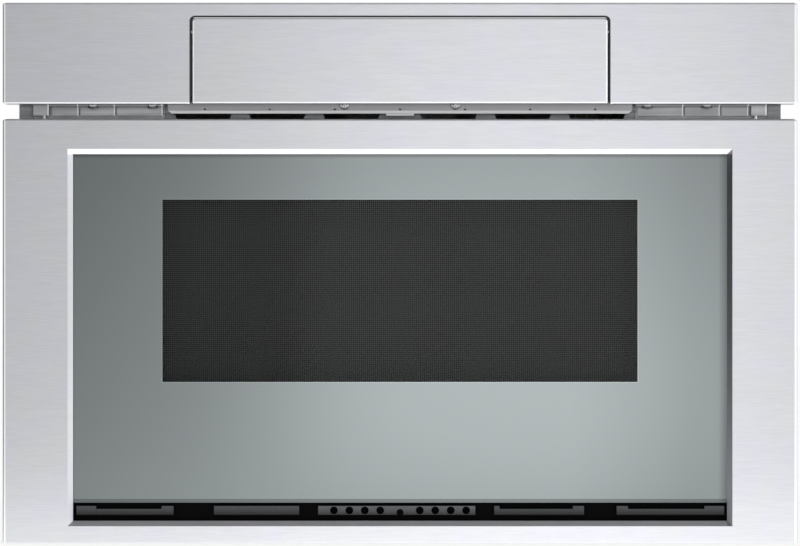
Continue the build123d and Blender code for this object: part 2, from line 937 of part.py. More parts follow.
def make_flap_skin():
    rear = face_y + flap_return
    outer = arched_block(flap_half, (face_y, rear), flap_z, flap_radius)
    outer = fillet(outer.faces().sort_by(Axis.Y)[0].edges(), flap_edge_radius)
    inner_z = (flap_z[0] + skin, flap_z[1] - skin)
    outer -= block(both(flap_half - skin), (face_y + skin, rear + past), inner_z)
    notch = rod_x(pivot_radius + pivot_hub + running_gap, (housing_half, case_half), pivot_y, pivot_z)
    return outer - notch - mirrored(notch)


def along_tilt(distance, drop):
    """Point a distance down the slope of the touch glass, and a drop under its upper face."""
    tilt = math.radians(glass_tilt)
    start_y = face_y + flap_return - glass_tuck
    start_z = flap_z[1] - skin
    y = start_y + distance * math.cos(tilt) - drop * math.sin(tilt)
    z = start_z - distance * math.sin(tilt) - drop * math.cos(tilt)
    return (y, z)


def housing_rear():
    """Depth of the hindmost edge of the flap's housing."""
    return along_tilt(touch_glass_length, touch_glass_thickness)[0] + housing_step


def housing_points():
    """Side outline of the flap's housing, from the lower front corner upwards."""
    low = flap_z[0] + skin
    front = face_y + skin
    top = along_tilt(0, touch_glass_thickness)
    rear = along_tilt(touch_glass_length, touch_glass_thickness)
    return [
        (front, low),
        (front, top[1]),
        top,
        rear,
        (housing_rear(), rear[1] - housing_shoulder),
        (pivot_y + housing_knee_depth, pivot_z + housing_knee_rise),
        (pivot_y + housing_heel, low),
    ]


def sector_points():
    """Outline of the geared sector: enough teeth for the flap's travel, on a wedge from its pivot."""
    swept = int(flap_travel / 360.0 * sector_teeth) + 1
    turn = math.radians(damper_angle) - 2 * math.pi * (swept + spare_teeth) / sector_teeth
    teeth = tooth_points(fine_module, sector_teeth, turn, 0, swept + 2 * spare_teeth)
    return [(pivot_y, pivot_z)] + [(pivot_y + y, pivot_z + z) for y, z in teeth]


def make_flap_housing():
    """Hollow housing, open along its back, with a geared sector on its left end."""
    points = housing_points()
    outer = make_face(Polyline(*points, close=True))
    inner = offset(outer, amount=-housing_wall, kind=Kind.INTERSECTION)
    inner_half = housing_half - housing_wall
    plane = Plane(origin=(-housing_half, 0, 0), x_dir=(0, 1, 0), z_dir=(1, 0, 0))
    hollow_plane = Plane(origin=(-inner_half, 0, 0), x_dir=(0, 1, 0), z_dir=(1, 0, 0))
    housing = extrude(plane * outer, amount=2 * housing_half)
    housing -= extrude(hollow_plane * inner, amount=2 * inner_half)

    upper, lower = points[4], points[5]
    upper_z = upper[1] - housing_back_rim
    lower_z = lower[1] + housing_back_rim
    back = [
        (upper[0] - housing_back_depth, upper_z),
        (upper[0] + housing_back_depth, upper_z),
        (lower[0] + housing_back_depth, lower_z),
        (lower[0] - housing_back_depth, lower_z),
    ]
    housing -= side_prism(back, both(housing_half - housing_boss_length))

    hub_radius = pivot_radius + pivot_hub
    boss = rod_x(hub_radius, (housing_half - housing_boss_length, housing_half), pivot_y, pivot_z)
    housing += (boss + mirrored(boss)) & side_prism(points, both(housing_half))
    sector_x = (-housing_half - sector_width, -housing_half)
    housing += side_prism(sector_points(), sector_x)
    housing += rod_x(hub_radius, sector_x, pivot_y, pivot_z)
    return housing - rod_x(pivot_radius, both(case_half), pivot_y, pivot_z)


def tilted_slab(distances, drops, x):
    """Slab parallel to the touch glass, between two distances down its slope and two drops under its face."""
    corners = [
        along_tilt(distances[0], drops[0]),
        along_tilt(distances[1], drops[0]),
        along_tilt(distances[1], drops[1]),
        along_tilt(distances[0], drops[1]),
    ]
    return side_prism(corners, x)


def make_touch_glass():
    distances = (touch_glass_gap, touch_glass_length)
    return tilted_slab(distances, (0, touch_glass_thickness), both(touch_glass_width / 2))


def make_display_board():
    """Board on the underside of the housing's sloping wall, with a row of chips."""
    distances = (display_margin, touch_glass_length - 2 * display_margin)
    top = touch_glass_thickness + housing_wall
    low = top + board_thickness
    board = tilted_slab(distances, (top, low), both(touch_glass_width / 2 - display_end_margin))
    chip_distances = about((distances[0] + distances[1]) / 2, chip_length)
    for number in range(chip_count):
        x = chip_pitch * (number - (chip_count - 1) / 2)
        board += tilted_slab(chip_distances, (low, low + chip_height), about(x, chip_width))
    return board


def make_flap_pins():
    """Two hinge pins, from the housing's bosses out through the cheeks."""
    return pair(rod_x(pivot_radius, (housing_half - flap_pin_depth, pocket_outer), pivot_y, pivot_z))


def make_damper_pinion():
    """Pinion between the housing's end and the cheek, with its shaft in the damper."""
    end = -housing_half - running_gap
    x = (end - damper_width, end)
    turn = facing_gap(math.radians(damper_angle) + math.pi, damper_teeth)
    pinion = spur_gear(fine_module, damper_teeth, turn, (damper_y, damper_z), x, 0)
    shaft_end = -pocket_outer - damper_body_length + damper_cap + running_gap
    return pinion + rod_x(damper_shaft_radius, (shaft_end, x[0]), damper_y, damper_z)


# ---------------------------------------------------------------- cavity


def make_cavity_floor():
    """Floor with two low guides on which the tub's glides run."""
    y = (0, cavity_rear + cavity_sheet)
    floor = block(both(cavity_half + cavity_sheet), y, (cavity_bottom - cavity_sheet, cavity_bottom))
    guide_z = (cavity_bottom, cavity_bottom + guide_height)
    guide = block(about(guide_x, guide_width), (0, cavity_rear - guide_rear_gap), guide_z)
    return floor + guide + mirrored(guide)


def make_cavity_ceiling():
    """Ceiling with a square hole under the stirrer housing."""
    z = (cavity_top, cavity_top + cavity_sheet)
    ceiling = block(both(cavity_half + cavity_sheet), (0, cavity_rear + cavity_sheet), z)
    margin = dome_sheet + ceiling_hole_margin
    return ceiling - block(both(dome_half - margin), grown(dome_y, -margin), through(z))


def make_cavity_side_walls():
    x = (cavity_half, cavity_half + cavity_sheet)
    return pair(block(x, (0, cavity_rear), (cavity_bottom, cavity_top)))


def make_cavity_back_wall():
    y = (cavity_rear, cavity_rear + cavity_sheet)
    return block(both(cavity_half + cavity_sheet), y, (cavity_bottom, cavity_top))


def make_cavity_supports():
    """Two sheet channels between the base pan and the cavity floor."""
    x = (cavity_half - support_inset - support_width, cavity_half - support_inset)
    y = (support_front, cavity_rear - support_rear_gap)
    z = (case_sheet, cavity_bottom - cavity_sheet)
    hollow = block((x[0] + case_sheet, x[1] + past), through(y), grown(z, -case_sheet))
    return pair(block(x, y, z) - hollow)


# ---------------------------------------------------------------- drawer


def make_drawer_front():
    """Stainless front with a bevelled opening, whose rim runs back to the glass."""
    front = folded_panel((drawer_bottom, drawer_top), -drawer_front_clearance)
    rim = bevel + skin
    front += block(grown(opening_x, rim), (face_y + skin / 2, glass_y[0]), grown(opening_z, rim))
    mouth = upright_rectangle(grown(opening_x, bevel), face_y, grown(opening_z, bevel))
    throat = upright_rectangle(opening_x, face_y + bevel, opening_z)
    front -= loft([mouth, throat])
    return front - block(opening_x, through((face_y, glass_y[0])), opening_z)


def make_door_glass():
    glass = block(grown(opening_x, glass_lap), glass_y, (glass_bottom, opening_z[1] + glass_lap))
    return chamfer(glass.edges().filter_by(Axis.X).group_by(Axis.Z)[0], glass_chamfer)


def make_window_screen():
    y = (backplate_y[0] - screen_thickness, backplate_y[0])
    return block(grown(window_x, screen_lap), y, grown(window_z, screen_lap))


def make_door_backplate():
    """Steel plate that closes the back of the drawer front, with the window and air holes."""
    plate = block(both(front_width / 2 - skin), backplate_y, (drawer_bottom + skin, drawer_top - skin))
    plate -= block(window_x, through(backplate_y), window_z)
    hole_low = opening_z[0] + air_hole_rise
    for number in range(air_hole_count):
        x = air_hole_pitch * (number - (air_hole_count - 1) / 2)
        plate -= block(about(x, air_hole_width), through(backplate_y), (hole_low, hole_low + air_hole_height))
    return plate


def make_choke_frame():
    """Channel-shaped ring that traps the microwaves round the tub."""
    ring = block(both(choke_half), choke_y, choke_z)
    ring -= block(both(choke_hole_half), through(choke_y), choke_hole_z)
    groove_y = (choke_y[0] + choke_sheet, choke_y[1] + past)
    groove = block(both(choke_half - choke_sheet), groove_y, grown(choke_z, -choke_sheet))
    groove -= block(both(choke_hole_half + choke_sheet), through(groove_y), grown(choke_hole_z, choke_sheet))
    return ring - groove


def make_choke_cover():
    cover = block(both(choke_half), choke_cover_y, choke_z)
    return cover - block(both(choke_hole_half), through(choke_cover_y), choke_hole_z)


def make_vent_baffle():
    """Dark plastic strip in the slot under the glass, with raised ribs and small air holes."""
    y = (backplate_y[0] - baffle_thickness, backplate_y[0])
    face = (y[1] - baffle_face, y[1])
    baffle = block(opening_x, face, (opening_z[0] - baffle_lap, glass_bottom - baffle_glass_gap))
    z = (opening_z[0] + baffle_rib_rise, opening_z[0] + baffle_rib_rise + baffle_rib_height)
    for rib in baffle_ribs:
        baffle += block(rib, y, z)
    for notch in baffle_notches:
        baffle -= block(notch, (y[0] - past, face[0]), (z[1] - notch_depth, z[1] + past))
    for number in range(baffle_hole_count):
        x = baffle_first_hole + number * baffle_hole_pitch
        hole = rod_y(baffle_hole_radius, x, through(y), (z[0] + z[1]) / 2)
        baffle -= hole
        baffle -= mirrored(hole)
    return baffle


def make_drawer_tub():
    """Open tub with a rim round its top and the window in its front wall."""
    tub = block(both(tub_half), (tub_front, tub_rear), (tub_bottom, tub_top))
    rim_y = (choke_cover_y[1], tub_rear + tub_rim)
    tub += block(both(tub_half + tub_rim), rim_y, (tub_top - tub_sheet, tub_top))
    inner_y = (tub_front + tub_sheet, tub_rear - tub_sheet)
    tub -= block(both(tub_half - tub_sheet), inner_y, (tub_bottom + tub_sheet, tub_top + past))
    return tub - block(window_x, through((tub_front, inner_y[0])), window_z)


def make_ceramic_tray():
    margin = tub_sheet + tray_clearance
    z = (tub_bottom + tub_sheet, tub_bottom + tub_sheet + tray_thickness)
    tray = block(both(tub_half - margin), (tub_front + margin, tub_rear - margin), z)
    return fillet(tray.edges().filter_by(Axis.Z), tray_corner)


def make_tub_glides():
    """Four plastic shoes under the tub, just above the guides on the cavity floor."""
    z = (tub_bottom - glide_height, tub_bottom)
    glides = []
    for setback in (0.0, glide_spacing):
        rear = tub_rear - glide_inset - setback
        glides += pair(block(about(guide_x, guide_width), (rear - glide_length, rear), z))
    return glides


def make_carriage_arm():
    """Right arm: a long sheet with a rib for the inner rail and a foot on the back plate."""
    y = (backplate_y[1], backplate_y[1] + arm_length)
    arm = block((arm_inner, arm_outer), y, arm_z)
    rib_x = (arm_outer, side_inner - inner_rail_x - inner_rail_width)
    arm += block(rib_x, grown(inner_rail_y, -rib_inset), about(slide_centre, rib_height))
    return arm + block((arm_inner - arm_foot_width, arm_inner), (y[0], y[0] + arm_sheet), arm_z)


def channel(wall_x, width, half, y):
    """Rail on the right: a web at the side, two flanges, and returns that hold the next rail."""
    x = (side_inner - wall_x - width, side_inner - wall_x)
    rail = block(x, y, (slide_centre - half, slide_centre + half))
    inner_x = (x[0] + slide_sheet, x[1] - slide_sheet)
    inner_z = about(slide_centre, 2 * (half - slide_sheet))
    rail -= block(inner_x, through(y), inner_z)
    return rail - block((x[0] - past, inner_x[1]), through(y), grown(inner_z, -slide_return))


def make_outer_rails():
    y = (rail_start, rail_start + outer_rail_length)
    return pair(channel(0, outer_rail_width, slide_height / 2, y))


def make_middle_rails():
    y = (rail_start, rail_start + middle_rail_length)
    return pair(channel(middle_rail_x, middle_rail_width, slide_height / 2 - middle_rail_x, y))


def make_inner_rails():
    """Inner rails: hat-shaped, with the web on the carriage arm's rib."""
    x = (side_inner - inner_rail_x - inner_rail_width, side_inner - inner_rail_x)
    z = about(slide_centre, slide_height - 2 * inner_rail_x)
    hollow = block((x[0] + slide_sheet, x[1] + past), through(inner_rail_y), grown(z, -slide_sheet))
    return pair(block(x, inner_rail_y, z) - hollow)


def make_drive_racks():
    """Two racks with their teeth down, one on each arm. A tooth stands over the middle of each pinion."""
    pitch = math.pi * gear_module
    slope = math.tan(pressure_angle)
    half_at_pitch = pitch / 4 - tooth_backlash / 2
    tip = rack_pitch_z - tooth_addendum * gear_module
    root = rack_pitch_z + tooth_dedendum * gear_module
    half_tip = half_at_pitch - slope * tooth_addendum * gear_module
    half_root = half_at_pitch + slope * tooth_dedendum * gear_module
    first = math.ceil((rack_y[0] - shaft_depth) / pitch + 0.5)
    last = math.floor((rack_y[1] - shaft_depth) / pitch - 0.5)
    points = [(rack_y[0], root)]
    for tooth in range(first, last + 1):
        y = shaft_depth + tooth * pitch
        points += [(y - half_root, root), (y - half_tip, tip), (y + half_tip, tip), (y + half_root, root)]
    points += [(rack_y[1], root), (rack_y[1], root + rack_height), (rack_y[0], root + rack_height)]
    return pair(side_prism(points, (rack_inner, arm_inner)))


def make_latch_hooks():
    """Two hooks on the back plate that reach through the front frame to the door switches."""
    x = about(hook_x, hook_width)
    y = (backplate_y[1], hook_reach)
    hook = block(x, y, (hook_z[0] + hook_nose, hook_z[1]))
    hook += block(x, (y[1] - hook_nose, y[1]), hook_z)
    return pair(hook + block(grown(x, hook_foot_reach), (y[0], y[0] + hook_foot_sheet), hook_z))


def make_interlock_switches():
    """Two switch blocks behind the front frame, beside the hooks."""
    inner = hook_x + hook_width / 2 + running_gap
    z = about((hook_z[0] + hook_z[1]) / 2, switch_height)
    return pair(block((inner, inner + switch_width), (0, switch_depth), z))


# ---------------------------------------------------------------- drive


def make_drive_shaft():
    return rod_x(shaft_radius, both(pinion_x[1]), shaft_depth, shaft_height)


def make_drive_gears():
    """Two rack pinions and the gear that the motor turns, all fixed on the cross shaft."""
    centre = (shaft_depth, shaft_height)
    turn = facing_gap(math.pi / 2, pinion_teeth)
    pinion = spur_gear(gear_module, pinion_teeth, turn, centre, pinion_x, shaft_radius)
    return pair(pinion) + [spur_gear(fine_module, shaft_gear_teeth, 0, centre, drive_gear_span, shaft_radius)]


def make_motor_gear():
    """Motor gear with its shaft, which runs into the gearbox."""
    turn = facing_gap(math.pi, motor_gear_teeth)
    gear = spur_gear(fine_module, motor_gear_teeth, turn, (motor_gear_y, shaft_height), drive_gear_span, 0)
    shaft_x = (drive_gear_span[1], drive_gear_span[1] + motor_shaft_length)
    return gear + rod_x(motor_shaft_radius, shaft_x, motor_gear_y, shaft_height)


def make_shaft_bearings():
    """Two bearing blocks on the base pan that carry the cross shaft."""
    x = about(bearing_x, bearing_width)
    top = shaft_height + bearing_reach - bearing_shoulder
    bearing = block(x, about(shaft_depth, 2 * bearing_reach), (case_sheet, top))
    bearing += rod_x(bearing_reach, x, shaft_depth, shaft_height)
    foot_z = (case_sheet, case_sheet + bearing_foot_height)
    bearing += block(x, about(shaft_depth, 2 * bearing_foot_reach), foot_z)
    return pair(bearing - rod_x(shaft_radius + shaft_fit, through(x), shaft_depth, shaft_height))


def make_drive_motor():
    """Gearbox on the base pan with the motor on its end."""
    x = (gearbox_x, gearbox_x + gearbox_width)
    y = (motor_gear_y - gearbox_lead, motor_gear_y - gearbox_lead + gearbox_depth)
    box = block(x, y, (case_sheet, case_sheet + gearbox_height))
    box = fillet(box.edges().filter_by(Axis.X), gearbox_corner)
    motor_y = y[1] - motor_radius - motor_inset
    motor_z = case_sheet + motor_radius + motor_rise
    motor_end = x[1] + motor_length
    motor = rod_x(motor_radius, (x[1] - past, motor_end), motor_y, motor_z)
    motor += rod_x(motor_boss_radius, (x[1], motor_end + motor_boss_length), motor_y, motor_z)
    foot = block((x[0], motor_end - motor_foot_gap), about(motor_y, motor_foot_width), (case_sheet, motor_z))
    bore_x = (x[0] - past, drive_gear_span[1] + motor_shaft_length + past)
    bore = rod_x(motor_shaft_radius + shaft_fit, bore_x, motor_gear_y, shaft_height)
    return box + motor + foot - bore


# ---------------------------------------------------------------- stirrer and waveguide


def guide_tube_port():
    """Opening between the waveguide and the stirrer housing."""
    x = both(guide_tube_width / 2 - port_margin)
    y = (guide_tube_y[0] + port_front, stirrer_y + port_rear)
    return block(x, y, about(dome_z[1], 4 * dome_sheet))


def make_stirrer_housing():
    """Raised box over the hole in the cavity's ceiling, with a rim on the ceiling."""
    inner_x = both(dome_half - dome_sheet)
    inner_y = grown(dome_y, -dome_sheet)
    housing = block(both(dome_half), dome_y, dome_z)
    rim_z = (dome_z[0], dome_z[0] + dome_sheet)
    housing += block(both(dome_half + dome_lap), grown(dome_y, dome_lap), rim_z)
    housing -= block(inner_x, inner_y, (dome_z[0] - past, dome_z[1] - dome_sheet))
    return housing - guide_tube_port()


def make_waveguide():
    """Rectangular tube from the magnetron's antenna to the stirrer housing."""
    half = guide_tube_width / 2
    tube = block(both(half), guide_tube_y, guide_tube_z)
    tube -= block(both(half - dome_sheet), grown(guide_tube_y, -dome_sheet), grown(guide_tube_z, -dome_sheet))
    tube -= guide_tube_port()
    tube -= rod_z(stirrer_shaft_radius + shaft_hole_room, 0, stirrer_y, through(guide_tube_z))
    antenna_hole_z = through((guide_tube_z[0], guide_tube_z[0] + dome_sheet))
    return tube - rod_z(antenna_radius + antenna_room, 0, magnetron_y, antenna_hole_z)


def make_stirrer_cover():
    """Flat cover under the hole in the ceiling."""
    z = (cavity_top - cover_thickness, cavity_top)
    return block(both(dome_half + dome_lap), grown(dome_y, dome_lap), z)


def make_stirrer_motor():
    motor = rod_z(stirrer_motor_radius, 0, stirrer_y, stirrer_motor_z)
    ear_z = (stirrer_motor_z[0], stirrer_motor_z[0] + stirrer_ear_sheet)
    ear_x = both(stirrer_motor_radius + stirrer_ear_reach)
    motor += block(ear_x, about(stirrer_y, stirrer_ear_width), ear_z)
    bore_z = (stirrer_motor_z[0] - past, stirrer_motor_z[1] - stirrer_motor_cap)
    return motor - rod_z(stirrer_shaft_radius + shaft_fit, 0, stirrer_y, bore_z)


def make_stirrer():
    """Hub with tilted blades, on a shaft that goes up through the waveguide to its motor."""
    hub_z = (dome_z[0] + dome_z[1]) / 2
    blade_start = (Align.MIN, Align.CENTER, Align.CENTER)
    flat_blade = Box(stirrer_radius, stirrer_arm_width, stirrer_blade_sheet, align=blade_start)
    blade = Rot(stirrer_blade_tilt, 0, 0) * flat_blade
    stirrer = Cylinder(stirrer_hub_radius, stirrer_hub_height)
    for number in range(stirrer_blades):
        stirrer += Rot(0, 0, 360.0 * number / stirrer_blades) * blade
    stirrer = Pos(0, stirrer_y, hub_z) * stirrer
    shaft_z = (hub_z, stirrer_motor_z[1] - stirrer_motor_cap - running_gap)
    return stirrer + rod_z(stirrer_shaft_radius, 0, stirrer_y, shaft_z)


# ---------------------------------------------------------------- magnetron, transformer and capacitor


def make_magnetron():
    """Steel frame with cooling fins round the tube, a filter box below and the antenna above."""
    x = both(magnetron_width / 2)
    y = about(magnetron_y, magnetron_depth)
    top = dome_z[1]
    low = top - magnetron_height
    frame_z = (low + filter_height, top)
    inside = block(grown(x, -magnetron_plate), through(y), grown(frame_z, -magnetron_plate))
    magnetron = block(x, y, frame_z) - inside
    pitch = (frame_z[1] - frame_z[0] - magnetron_plate) / (fin_count + 1)
    for number in range(fin_count):
        z = frame_z[0] + magnetron_plate / 2 + pitch * (number + 1)
        magnetron += block(x, grown(y, -fin_inset), (z, z + fin_sheet))
    magnetron += rod_z(anode_radius, 0, magnetron_y, frame_z)
    magnetron += block(grown(x, -filter_side_inset), grown(y, -filter_end_inset), (low, frame_z[0]))
    return magnetron + rod_z(antenna_radius, 0, magnetron_y, (top, top + antenna_height))


def make_hv_transformer():
    """Laminated core with two coils round it, on feet."""
    width, depth, height = transformer_size
    rear = case_inner_rear - transformer_gap
    coil_x = about(transformer_x, width)
    coil_y = (rear - depth, rear)
    core_x = grown(coil_x, -coil_wrap)
    core_y = grown(coil_y, -coil_wrap)
    core_z = (case_sheet, case_sheet + height)
    foot_z = (case_sheet, case_sheet + transformer_foot_sheet)
    core = block(core_x, core_y, core_z) + block(grown(core_x, transformer_foot_reach), core_y, foot_z)
    coils = []
    for rise in coil_rises:
        coil_z = (core_z[0] + rise, core_z[0] + rise + coil_height)
        coil = fillet(block(coil_x, coil_y, coil_z).edges().filter_by(Axis.Z), coil_wrap)
        coils.append(coil - block(core_x, core_y, through(coil_z)))
    return [core] + coils


def make_hv_capacitor():
    y = case_depth - capacitor_inset
    top = case_sheet + capacitor_height
    can = rod_z(capacitor_radius, capacitor_x, y, (case_sheet, top))
    can = fillet(can.edges().sort_by(Axis.Z)[-1], capacitor_edge)
    for x in about(capacitor_x, terminal_spacing):
        can += rod_z(terminal_radius, x, y, (top, top + terminal_height))
    return can


# ---------------------------------------------------------------- cooling fan


def make_fan_housing():
    """Square frame with a round bore, and a motor plate on spokes at its back."""
    y = (case_inner_rear - fan_depth, case_inner_rear)
    housing = block(about(fan_x, fan_square), y, about(fan_z, fan_square))
    housing = fillet(housing.edges().filter_by(Axis.Y), fan_corner)
    housing -= rod_y(fan_bore_radius, fan_x, through(y), fan_z)
    plate_y = (y[1] - fan_plate, y[1])
    housing += rod_y(fan_hub_radius, fan_x, plate_y, fan_z)
    spoke_start = (Align.MIN, Align.MIN, Align.CENTER)
    spoke = Box(fan_bore_radius + spoke_lap, fan_plate, spoke_width, align=spoke_start)
    for number in range(fan_spokes):
        housing += Pos(fan_x, plate_y[0], fan_z) * Rot(0, 90.0 + 360.0 * number / fan_spokes, 0) * spoke
    return housing


def make_fan_motor():
    shaft_y = (fan_motor_y[0] - fan_shaft_length, fan_motor_y[0])
    motor = rod_y(fan_motor_radius, fan_x, fan_motor_y, fan_z)
    return motor + rod_y(fan_shaft_radius, fan_x, shaft_y, fan_z)


def make_fan_wheel():
    """Hub with tilted blades, on the motor's shaft."""
    rear = fan_motor_y[0] - fan_wheel_gap
    y = (rear - fan_wheel_depth, rear)
    radius = fan_bore_radius - fan_tip_gap
    blade = Box(radius, fan_blade_sheet, fan_blade_chord, align=(Align.MIN, Align.CENTER, Align.CENTER))
    wheel = rod_y(fan_hub_radius, fan_x, y, fan_z)
    for number in range(fan_blades):
        turn = Rot(0, 360.0 * number / fan_blades, 0) * Rot(fan_blade_tilt, 0, 0)
        wheel += Pos(fan_x, (y[0] + y[1]) / 2, fan_z) * turn * blade
    wheel &= rod_y(radius, fan_x, y, fan_z)
    return wheel - rod_y(fan_shaft_radius + shaft_fit, fan_x, through(y), fan_z)


# ---------------------------------------------------------------- main board and lamp


def make_control_board():
    """Main board on four feet over the cavity, with relays, a small transformer and capacitors."""
    low = cavity_top + cavity_sheet
    z = (low + board_rise, low + board_rise + board_thickness)
    x = about(board_x, board_width)
    y = (board_front, board_front + board_depth)
    board = block(x, y, z)
    for foot_x in grown(x, -board_foot_inset):
        for foot_y in grown(y, -board_foot_inset):
            board += rod_z(board_foot_radius, foot_x, foot_y, (low, z[0]))
    relay_x = x[0] + relay_side_inset
    for number in range(relay_count):
        relay_y = y[0] + relay_front_inset + relay_pitch * number
        relay_span = (relay_y, relay_y + relay_depth)
        board += block((relay_x, relay_x + relay_width), relay_span, (z[1], z[1] + relay_height))
    mains_x = x[1] - mains_block_side_inset
    mains_y = y[1] - mains_block_rear_inset
    mains_span = (mains_y - mains_block_depth, mains_y)
    board += block((mains_x - mains_block_width, mains_x), mains_span, (z[1], z[1] + mains_block_height))
    for number in range(reservoir_count):
        reservoir_y = y[0] + reservoir_inset + reservoir_pitch * number
        reservoir_z = (z[1], z[1] + reservoir_height)
        board += rod_z(reservoir_radius, x[1] - reservoir_inset, reservoir_y, reservoir_z)
    return board


def make_oven_lamp():
    """Lamp and holder on the outside of the left cavity wall."""
    wall = -(cavity_half + cavity_sheet)
    socket_end = wall - lamp_socket_length
    lamp = block((wall - lamp_plate, wall), about(lamp_y, lamp_size), about(lamp_z, lamp_size))
    lamp += rod_x(lamp_socket_radius, (socket_end, wall), lamp_y, lamp_z)
    return lamp + rod_x(lamp_bulb_radius, (socket_end - lamp_bulb_length, socket_end), lamp_y, lamp_z)


# ---------------------------------------------------------------- all nodes

right_side = make_side_panel()

write("base_pan", make_base_pan())
write("top_cover", make_top_cover())
write("right_side_panel", right_side)
write("left_side_panel", mirrored(right_side))
write("rear_panel", make_rear_panel())
write("front_frame", make_front_frame())
write("cord_gland", make_cord_gland())
write("panel_screws", make_screws())

write("fascia", make_fascia())
write("fascia_brackets", pair(make_fascia_bracket()))
write("vent_ledge", make_vent_ledge())
write("flap_pocket", make_flap_pocket())
write("touch_latch", make_touch_latch())
write("rotary_damper", make_rotary_damper())
write("damper_pinion", make_damper_pinion())

write("flap_skin", make_flap_skin())
write("flap_housing", make_flap_housing())
write("touch_glass", make_touch_glass())
write("display_board", make_display_board())
write("flap_pins", make_flap_pins())

write("cavity_floor", make_cavity_floor())
write("cavity_ceiling", make_cavity_ceiling())
write("cavity_side_walls", make_cavity_side_walls())
write("cavity_back_wall", make_cavity_back_wall())
write("cavity_supports", make_cavity_supports())

write("drawer_front", make_drawer_front())
write("door_glass", make_door_glass())
write("window_screen", make_window_screen())
write("door_backplate", make_door_backplate())
write("choke_frame", make_choke_frame())
write("choke_cover", make_choke_cover())
write("vent_baffle", make_vent_baffle())
write("drawer_tub", make_drawer_tub())
write("ceramic_tray", make_ceramic_tray())
write("tub_glides", make_tub_glides())
write("carriage_arms", pair(make_carriage_arm()))
write("outer_rails", make_outer_rails())
write("middle_rails", make_middle_rails())
write("inner_rails", make_inner_rails())
write("drive_racks", make_drive_racks())
write("latch_hooks", make_latch_hooks())
write("interlock_switches", make_interlock_switches())

write("drive_shaft", make_drive_shaft())
write("drive_gears", make_drive_gears())
write("motor_gear", make_motor_gear())
write("shaft_bearings", make_shaft_bearings())
write("drive_motor", make_drive_motor())

write("stirrer_housing", make_stirrer_housing())
write("stirrer_cover", make_stirrer_cover())
write("stirrer_motor", make_stirrer_motor())
write("stirrer", make_stirrer())
write("waveguide", make_waveguide())
write("magnetron", make_magnetron())
write("hv_transformer", make_hv_transformer())
write("hv_capacitor", make_hv_capacitor())
write("control_board", make_control_board())
write("oven_lamp", make_oven_lamp())
write("fan_housing", make_fan_housing())
write("fan_motor", make_fan_motor())
write("fan_wheel", make_fan_wheel())
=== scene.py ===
"""Finishes, small trim, light and camera for a built-in microwave drawer."""
import math

import bpy
from mathutils import Matrix, Vector


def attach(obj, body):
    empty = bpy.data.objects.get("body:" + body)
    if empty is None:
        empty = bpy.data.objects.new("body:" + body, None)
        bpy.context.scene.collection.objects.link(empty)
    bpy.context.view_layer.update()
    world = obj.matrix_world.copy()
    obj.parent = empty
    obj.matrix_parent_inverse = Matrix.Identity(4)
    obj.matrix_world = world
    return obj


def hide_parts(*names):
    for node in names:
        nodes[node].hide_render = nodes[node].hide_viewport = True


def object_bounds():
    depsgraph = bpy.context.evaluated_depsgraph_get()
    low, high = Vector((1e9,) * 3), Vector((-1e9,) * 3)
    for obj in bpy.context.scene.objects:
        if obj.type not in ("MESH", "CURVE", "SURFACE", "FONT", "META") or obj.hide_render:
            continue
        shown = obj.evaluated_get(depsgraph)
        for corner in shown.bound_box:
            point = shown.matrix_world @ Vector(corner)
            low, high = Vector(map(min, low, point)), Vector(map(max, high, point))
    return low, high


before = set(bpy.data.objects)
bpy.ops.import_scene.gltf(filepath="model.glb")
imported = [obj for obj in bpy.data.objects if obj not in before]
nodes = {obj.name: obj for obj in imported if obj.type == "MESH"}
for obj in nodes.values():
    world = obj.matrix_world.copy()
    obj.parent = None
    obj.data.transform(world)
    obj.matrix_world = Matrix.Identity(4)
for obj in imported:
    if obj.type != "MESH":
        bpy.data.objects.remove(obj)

cad_low, cad_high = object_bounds()

mm = 0.001

# The view: straight on, from far enough away that it is nearly without perspective.
picture_width = 610.2 * mm
picture_centre = 187.07 * mm
front_y = -35.0 * mm
camera_distance = 6.0
camera_reach = 60
sensor_width = 36.0

# The studio: how far the floor goes, the share of plain white that the camera, metal and glass
# see in it, and the strength of the surround's light.
floor_reach = 14.0
floor_white = 0.86
surround_strength = 0.85

# The opening for the window, the coat round it, and the painted shade along the foot of the glass.
window_x = (-181.35 * mm, 181.35 * mm)
window_z = (103.9 * mm, 243.1 * mm)
mirror_x = (-250.9 * mm, 250.9 * mm)
mirror_y = -30.05 * mm
mirror_z = (11.8 * mm, 279.1 * mm)
mirror_thickness = 0.2 * mm
foot_shade_top = 14.8 * mm
foot_shade_blur = 0.3 * mm

# The coat's painted highlight round the window: half its width, and how far it goes.
light_half = 0.7 * mm
window_middle = (window_z[0] + window_z[1]) / 2
window_half_height = (window_z[1] - window_z[0]) / 2 + light_half
window_half_width = window_x[1] + light_half

# Where painted shade and light change the coat's tone: up its height, at its left and right, and at
# its borders.
coat_height = (30 * mm, 270 * mm)
coat_left = (-245 * mm, -120 * mm)
coat_left_border = (-249.8 * mm, -248.2 * mm)
coat_right = (130 * mm, 220 * mm)
coat_right_border = (243 * mm, 250 * mm)
coat_top_border = (274.5 * mm, 277.5 * mm)

# The woven screen behind the window, and the flat rim round it.
screen_x = (-195.35 * mm, 195.35 * mm)
screen_y = -21.9 * mm
screen_z = (89.9 * mm, 257.1 * mm)
wire_pitch = 1.55 * mm
wire_width = 0.62 * mm
wire_depth = 0.3 * mm
wire_bevel = 0.3 * wire_depth
wire_lean = 0.25 * wire_depth
wire_overlap = 2 * mm
rim_overlap = 1 * mm
rim_thickness = 0.7 * mm

# The top of the lip along the vent ledge, which carries a painted highlight, and where its tone
# changes.
lip_top = 311.4 * mm
lip_fade = (lip_top - 0.2 * mm, lip_top + 0.1 * mm)

